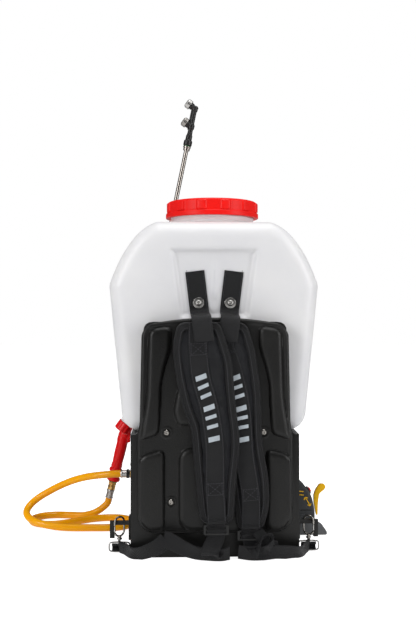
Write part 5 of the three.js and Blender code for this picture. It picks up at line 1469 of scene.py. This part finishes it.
ferrule_profile = [(6.6, 0), (7.4, 0.1), (7.6, 0.5), (7.6, 3.4), (7.0, 3.9)]
ferrule_profile += [(7.3, 4.2 + i * 1.15) for i in range(9)]
ferrule_profile += [(7.0, 13.8), (7.6, 14.3), (7.6, 16.3), (7.3, 16.7), (6.6, 16.7), (6.6, 0)]
fitting_end = fitting_root + GUN_AXIS * FITTING_LENGTH * mm
PUMP_FERRULE = at(-149, OUTLET_Y, OUTLET_Z)
LEFTWARD = (-1, 0, 0)
for name, root, axis in (("pump", PUMP_FERRULE, LEFTWARD),
    ("gun", fitting_end + GUN_AXIS * JOINT_GAP * mm, tuple(GUN_AXIS))):
    core = turned([(0, 0), (6.8, 0), (6.8, 16.4), (0, 16.4)], root, axis, 36)
    make(f"ferrule_{name}", *merged([turned(ferrule_profile, root, axis, 80, crimped), core]), steel, slot="steel",
         stands_for=[f"hose_ferrule_{name}"])
outlet_root = at(-119.3, OUTLET_Y, OUTLET_Z)
outlet_nut = turned(rounded_profile([(0, 0), (10, 0), (10, 8), (0, 8)], 0.5), outlet_root, LEFTWARD, 72, hexagon)
second_nut = turned(rounded_profile([(0, 14), (10, 14), (10, 22), (0, 22)], 0.5), outlet_root, LEFTWARD, 72, hexagon)
waist = turned(rounded_profile([(0, 7), (6.5, 7), (6.5, 20), (7.6, 21), (7.6, 29.2), (0, 29.2)], 0.4), outlet_root,
    LEFTWARD, 40)
make("outlet_nuts", *merged([outlet_nut, second_nut, waist]), brass, slot="brass", stands_for=["outlet_fitting"])
make("outlet_band", *turned(rounded_profile([(7.7, 1.5), (8.3, 1.5), (8.3, 6.0), (7.7, 6.0), (7.7, 1.5)], 0.2),
                            PUMP_FERRULE, LEFTWARD, 40), smooth_black, slot="black_plastic")

# %% Lance and its clip
flange = rounded_profile([(0, -9), (6.4, -9), (6.4, -4), (7.6, -3.4), (7.6, -1.2), (5.8, -0.6), (0, -0.6)], 0.35)
make("lance", *merged([
    turned([(0, 2.4), (4.2, 2.4), (4.2, LANCE_LENGTH), (0, LANCE_LENGTH)],
           LANCE_ROOT, LANCE_AXIS, 40),
    turned(flange, LANCE_TOP, LANCE_AXIS, 40),
    turned(rounded_profile([(0, 2.4), (7.4, 2.4), (7.4, 7), (6, 8.4), (4.2, 9), (0, 9)], 0.4), LANCE_ROOT, LANCE_AXIS,
    40)]),
    lance_steel, slot="steel", stands_for=["lance_tube"])
make("lance_o_ring", *turned([(r - 2.4, h) for r, h in o_ring], LANCE_TOP - LANCE_AXIS * 1.2 * mm, LANCE_AXIS, 40),
     seal_rubber, slot="rubber")
refined("lance_holder", "lance_clip", black_plastic, bevel=0.9, segments=3)

# %% Twin nozzle
HEAD_AXIS = Vector((-0.8, 0, 0.6))
UPPER_HEAD, LOWER_HEAD = 74, 38


def stem_at(distance):
    return LANCE_TOP + LANCE_AXIS * distance * mm


def collar_knurl(angle, radius, height):
    """Fourteen shallow flutes round the body's foot collar."""
    return -0.45 * (0.5 + 0.5 * math.cos(14 * angle)) if radius > 7.6 and 1.5 < height < 9.5 else 0.0


stem = turned(rounded_profile([
    (0, 0.4), (7.4, 0.4), (8.2, 1.6), (8.2, 9.6), (7.2, 11), (6.2, 12), (6.2, 20), (5.0, 23), (4.7, 32), (6.2, 34.5),
    (6.2, 42),
    (4.7, 44.5), (4.7, 68), (6.0, 70), (6.0, 77.6), (4.4, 79.4), (0, 79.6)], 0.8), LANCE_TOP, LANCE_AXIS, 56,
    collar_knurl)
necks = []
for distance in (UPPER_HEAD, LOWER_HEAD):
    root = stem_at(distance)
    necks.append(turned(rounded_profile([(0, -5.5), (5.0, -5.2), (5.6, -1), (5.6, 4), (6.6, 6.5), (6.6, 9.9),
        (0, 9.9)], 0.7), root, HEAD_AXIS, 36))
web = turned(rounded_profile([(0, 30), (2.6, 30), (2.6, 70), (0, 70)], 0.5), LANCE_TOP + HEAD_AXIS * 4.4 * mm,
    LANCE_AXIS, 16)
make("nozzle_body", *merged([stem, web, *necks]), smooth_black, body="twin_nozzle", stands_for=["twin_nozzle"],
    angle=40)


def cap_grip(angle, radius, height):
    """Ten notches round a spray cap."""
    return -0.6 * max(0.0, math.cos(10 * angle)) if radius > 8.4 and 1 < height < 8.2 else 0.0


cap_profile = rounded_profile([
    (0, 0), (9, 0), (9, 1.4), (9, 4.5), (9, 8), (6.6, 9.9), (3.4, 9.9), (2.6, 7.6), (1.4, 7.2), (0, 7.2)], 0.5)
for name, distance, finish in (("upper", UPPER_HEAD, steel), ("lower", LOWER_HEAD, dark_steel)):
    root = stem_at(distance) + HEAD_AXIS * 10.3 * mm
    make(f"spray_cap_{name}", *turned(cap_profile, root, HEAD_AXIS, 80, cap_grip), finish,
         body=f"nozzle_cap_{name}", slot="steel", stands_for=[f"nozzle_cap_{name}"])

# %% [markdown]
# ## Air filter cover, stop button and choke lever
# The cover bulges past the frame's right side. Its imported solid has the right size, and a few plain yellow
# strokes, a split line and three ridges are raised on it. The lever is a thin yellow blade with soft edges.

# %% Filter cover
refined("filter_cover", "air_filter_cover", dark_plastic, bevel=1.6, segments=3, slot="dark_plastic", angle=25)
split_line = smooth_path([at(x, y, z) for x, y, z in (
    (140, -28.6, 52), (150, -28.6, 52), (160, -28.6, 52), (168, -28.4, 52), (174, -27.6, 52), (177.6, -25.0, 52))],
    0.003)
make("cover_seam", *swept(split_line, circle(0.9, 10)), smooth_black, slot="black_plastic", angle=60)
STROKE_SECTION = [(-0.7, -0.3), (0.7, -0.3), (0.7, 0.3), (-0.7, 0.3)]
strokes = []
for points in (
    [(146, 83), (153, 85), (160, 84.4)], [(146, 77.5), (153, 79), (160, 78.4)], [(163, 74), (168, 66), (171, 60)],
    [(160.8, 70), (163, 74.4), (167.4, 73)], [(167, 61.6), (171.2, 59.6), (173, 64)],
):
    path = smooth_path([at(x, -28.4, z) for x, z in points], 0.001)
    strokes.append(swept(path, STROKE_SECTION, up=(0, -1, 0)))
make("cover_strokes", *merged(strokes), yellow_plastic, slot="yellow_plastic", angle=60)
ridges = block(130, 178, -28.9, -27.4, 40.4, 42.2, 0.4)
repeated("cover_ridges", *ridges, at_points([(0, 0, 0), (0, 0, -0.0045), (0, 0, 0.0045)]), dark_plastic,
    slot="dark_plastic")
BUTTON_AXIS = Vector((0.87, 0, 0.49)).normalized()
BUTTON_PLACE = at(173, 0, 82)
make("engine_button", *turned(rounded_profile([(0, -5.4), (4.9, -5.4), (4.9, 1.6), (3.6, 3.2), (0, 3.4)], 0.8),
    BUTTON_PLACE, BUTTON_AXIS, 40),
     red_plastic, body="stop_button", slot="red_plastic", stands_for=["stop_button"])
make("button_collar", *turned(rounded_profile([(5.6, -3), (7.6, -3), (7.2, 0.9), (5.8, 1.2), (5.6, -3)], 0.4),
    BUTTON_PLACE, BUTTON_AXIS, 40),
     smooth_black, slot="black_plastic")
refined("lever", "choke_lever", yellow_plastic, body="choke_lever", slot="yellow_plastic", bevel=1.0, segments=3)
refined("outrigger", "side_foot", grey_plastic, slot="dark_plastic", bevel=1.4, segments=3)

# %% [markdown]
# ## Engine and starter
# Behind the frame sits a small two-stroke engine. Its castings are rough aluminium; thin fins repeat up the
# cylinder; the starter's cover has a ring of air slots. The fins, slots and screws are copied by Geometry Nodes.

# %% Castings
CRANK_X, CRANK_Z = 48, 66
refined("crankcase", "engine_crankcase", castings, slot="aluminium", bevel=1.6, segments=2)
BARREL_FOOT = 100.3
FIN_STEP = 0.0068
make("cylinder_barrel", *merged([
    turned(rounded_profile([(0, 0), (22, 0), (22, 62), (19, 66), (0, 66)], 1.5), at(CRANK_X, 35, BARREL_FOOT),
    (0, 0, 1), 56),
    block(24, 72, 12, 58, BARREL_FOOT, BARREL_FOOT + 5, 1.2), block(35, 61, 22, 48, 150, 166.3, 1.5)]),
    castings, slot="aluminium", stands_for=["engine_cylinder"])
fin = block(19, 77, 10, 60, 108, 109.8, 0.7)
repeated("cylinder_fins", *fin, at_points([(0, 0, FIN_STEP * i) for i in range(8)]), castings, slot="aluminium")
refined("clutch_cover", "clutch_housing", castings, slot="aluminium", bevel=1.5, segments=2)
refined("carburettor_body", "carburettor", castings, slot="aluminium", bevel=0.9)
refined("exhaust_box", "muffler", hot_metal, slot="dark_metal", bevel=1.2)
seam = [at(x, 35, z) for x, z in ((-31, 126), (-31, 154), (-21, 164.3), (3, 164.3), (13, 154), (13, 126), (3, 115.8),
    (-21, 115.8))]
make("exhaust_seam", *swept(smooth_path(seam, 0.004, closed=True), circle(1.3, 8), up=(0, 1, 0), closed=True),
    hot_metal, slot="dark_metal", angle=60)
plug_root = at(CRANK_X, 60.3, 160.3)
make("plug_boot", *turned(rounded_profile(
    [(0, 0), (5, 0), (5, 6), (8, 7), (8, 11), (7.2, 12), (7.2, 14), (8, 15), (8, 21), (5, 27), (0, 27)], 0.8),
    plug_root, (0, 1, 0), 36),
    rubber, slot="rubber", stands_for=["spark_plug_cap"])
lead = smooth_path([at(*p) for p in ((48, 80, 154), (50, 84, 146), (60, 86, 132), (70, 80, 120), (74, 66, 108),
    (70, 58, 99), (62, 56, 93))], 0.004)
make("plug_lead", *swept(lead, circle(2.4, 14)), rubber, slot="rubber", angle=60)

# %% Starter
refined("starter_cover", "fan_housing", red_plastic, slot="red_plastic", bevel=1.2, segments=2, angle=30)
vane_verts, vane_faces = block(CRANK_X + 20, CRANK_X + 38, 88.1, 89.5, 64.6, 67.4, 0.5)
crank = at(CRANK_X, 0, CRANK_Z)
vane = ([Vector(v) - crank for v in vane_verts], vane_faces)
repeated("starter_vanes", *vane, around(24, crank, "Y"), smooth_black, slot="black_plastic")
hub = [turned(rounded_profile([(0, 25.8), (14, 25.8), (14, 28.4), (11, 30), (0, 30)], 0.8),
    at(CRANK_X, 62.3, CRANK_Z), (0, 1, 0), 48)]
hub += [turned(rounded_profile([(42, 25.6), (44.5, 25.6), (44.5, 27.6), (42, 27.6), (42, 25.6)], 0.4),
    at(CRANK_X, 62.3, CRANK_Z), (0, 1, 0), 80)]
make("starter_hub", *merged(hub), smooth_black, slot="black_plastic")
screw = turned(rounded_profile([(0, 0), (3.2, 0), (3.2, 1.8), (2.4, 2.6), (1.4, 2.6), (1.2, 1.4), (0, 1.4)], 0.3),
    (0, 0, 0), (0, 1, 0), 20)
SCREW_CIRCLE = 48.5
screw_angles = [math.radians(45 + 90 * i) for i in range(4)]
places = [at(CRANK_X + SCREW_CIRCLE * math.cos(a), 86.6, CRANK_Z + SCREW_CIRCLE * math.sin(a)) for a in screw_angles]
repeated("starter_screws", *screw, at_points(places), dark_steel, slot="steel")
refined("reel", "starter_reel", smooth_black, body="starter_reel", bevel=0.6)
refined("pull_grip", "starter_grip", smooth_black, body="starter_grip", bevel=1.4, segments=3)

# %% [markdown]
# ## Pump, fuel tank and feed hose
# The pump is a cast block with cooling ribs, a red pressure knob on its head and bolts at its corners. The
# fuel tank is a small pillow of natural plastic, like the big one.

# %% Pump
refined("pump_block", "pump_body", castings, slot="aluminium", bevel=1.6, segments=2)
pump_rib = block(-119.9, -118.4, -46, 62, 20, 22.4, 0.6)
RIB_STEP = 0.0085
repeated("pump_ribs", *pump_rib, at_points([(0, 0, RIB_STEP * i) for i in range(7)]), castings, slot="aluminium")
bolt = merged([turned(rounded_profile([(0, 0), (4.2, 0), (4.2, 3.4), (0, 3.6)], 0.4), (0, 0, 0), (0, -1, 0), 36,
    hexagon),
               turned([(0, 0), (5.2, 0), (5.2, 0.8), (0, 0.8)], (0, 0, 0), (0, -1, 0), 24)])
corners = [at(x, -57.8, z) for x in (-108, -36) for z in (22, 82)]
repeated("pump_bolts", *bolt, at_points(corners), steel, slot="steel")


def knob_ribs(angle, radius, height):
    """Six grip ribs round the pressure knob."""
    return 1.4 * max(0.0, math.cos(6 * angle)) ** 3 if radius > 11.8 and 5.5 < height < 17.5 else 0.0


knob_profile = [(0, 0), (5, 0), (5, 4), (11.4, 4.1), (12.4, 5), (12.8, 6)]
knob_profile += [(12.8, 6.8 + i * 0.9) for i in range(12)] + [(12.6, 18), (11.4, 19.6), (10, 20), (5, 20),
    (4.6, 19.2), (0, 19.2)]
make("pressure_dial", *turned(knob_profile, at(-103, 60, 117.3), (0, 0, 1), 96, knob_ribs), red_plastic,
     body="pressure_knob", slot="red_plastic", stands_for=["pressure_knob"])
refined("fuel_bottle", "fuel_tank", fuel_plastic, slot="tank_plastic", bevel=1.8, segments=3, angle=25)


def fuel_knurl(angle, radius, height):
    """Twenty flutes round the fuel cap."""
    return -0.7 * (0.5 + 0.5 * math.cos(20 * angle)) if radius > 14 and 1 < height < 9.5 else 0.0


make("fuel_lid", *turned([(0, 0), (14.6, 0), (15, 0.6), (15, 1.5), (15, 4), (15, 7), (15, 9), (13, 10.8), (0, 11)],
                         at(-86, 104, 68.3), (0, 0, 1), 120, fuel_knurl), smooth_black, body="fuel_cap",
                         stands_for=["fuel_cap"])

# %% Feed hose and spigot
FEED_X, CLAMP_HALF = -72, 3
refined("tank_spigot", "outlet_spigot", brass, slot="brass", bevel=0.5)
feed = smooth_path([at(*p) for p in (
    (FEED_X, 84, 173.7), (FEED_X, 84, 162), (FEED_X, 70, 146), (FEED_X, 49, 138), (FEED_X, 26, 132),
    (FEED_X, 14, 116.3), (FEED_X, 14, 108.3))], 0.004)
make("feed_hose", *swept(feed, circle(9, 28)), smooth_black, slot="black_plastic", stands_for=["suction_hose"],
    angle=60)
clamps = []
for place, axis in ((at(FEED_X, 84, 168), (0, 0, 1)), (at(FEED_X, 14, 113), (0, 0, 1))):
    clamps.append(turned(rounded_profile([(9, -3), (10, -3), (10, 3), (9, 3), (9, -3)], 0.3), place, axis, 48))
    x, y, z = (v / mm for v in place)
    clamps.append(block(x + 9, x + 15, y - CLAMP_HALF, y + CLAMP_HALF, z - CLAMP_HALF, z + CLAMP_HALF, 0.8))
make("hose_clamps", *merged(clamps), steel, slot="steel")
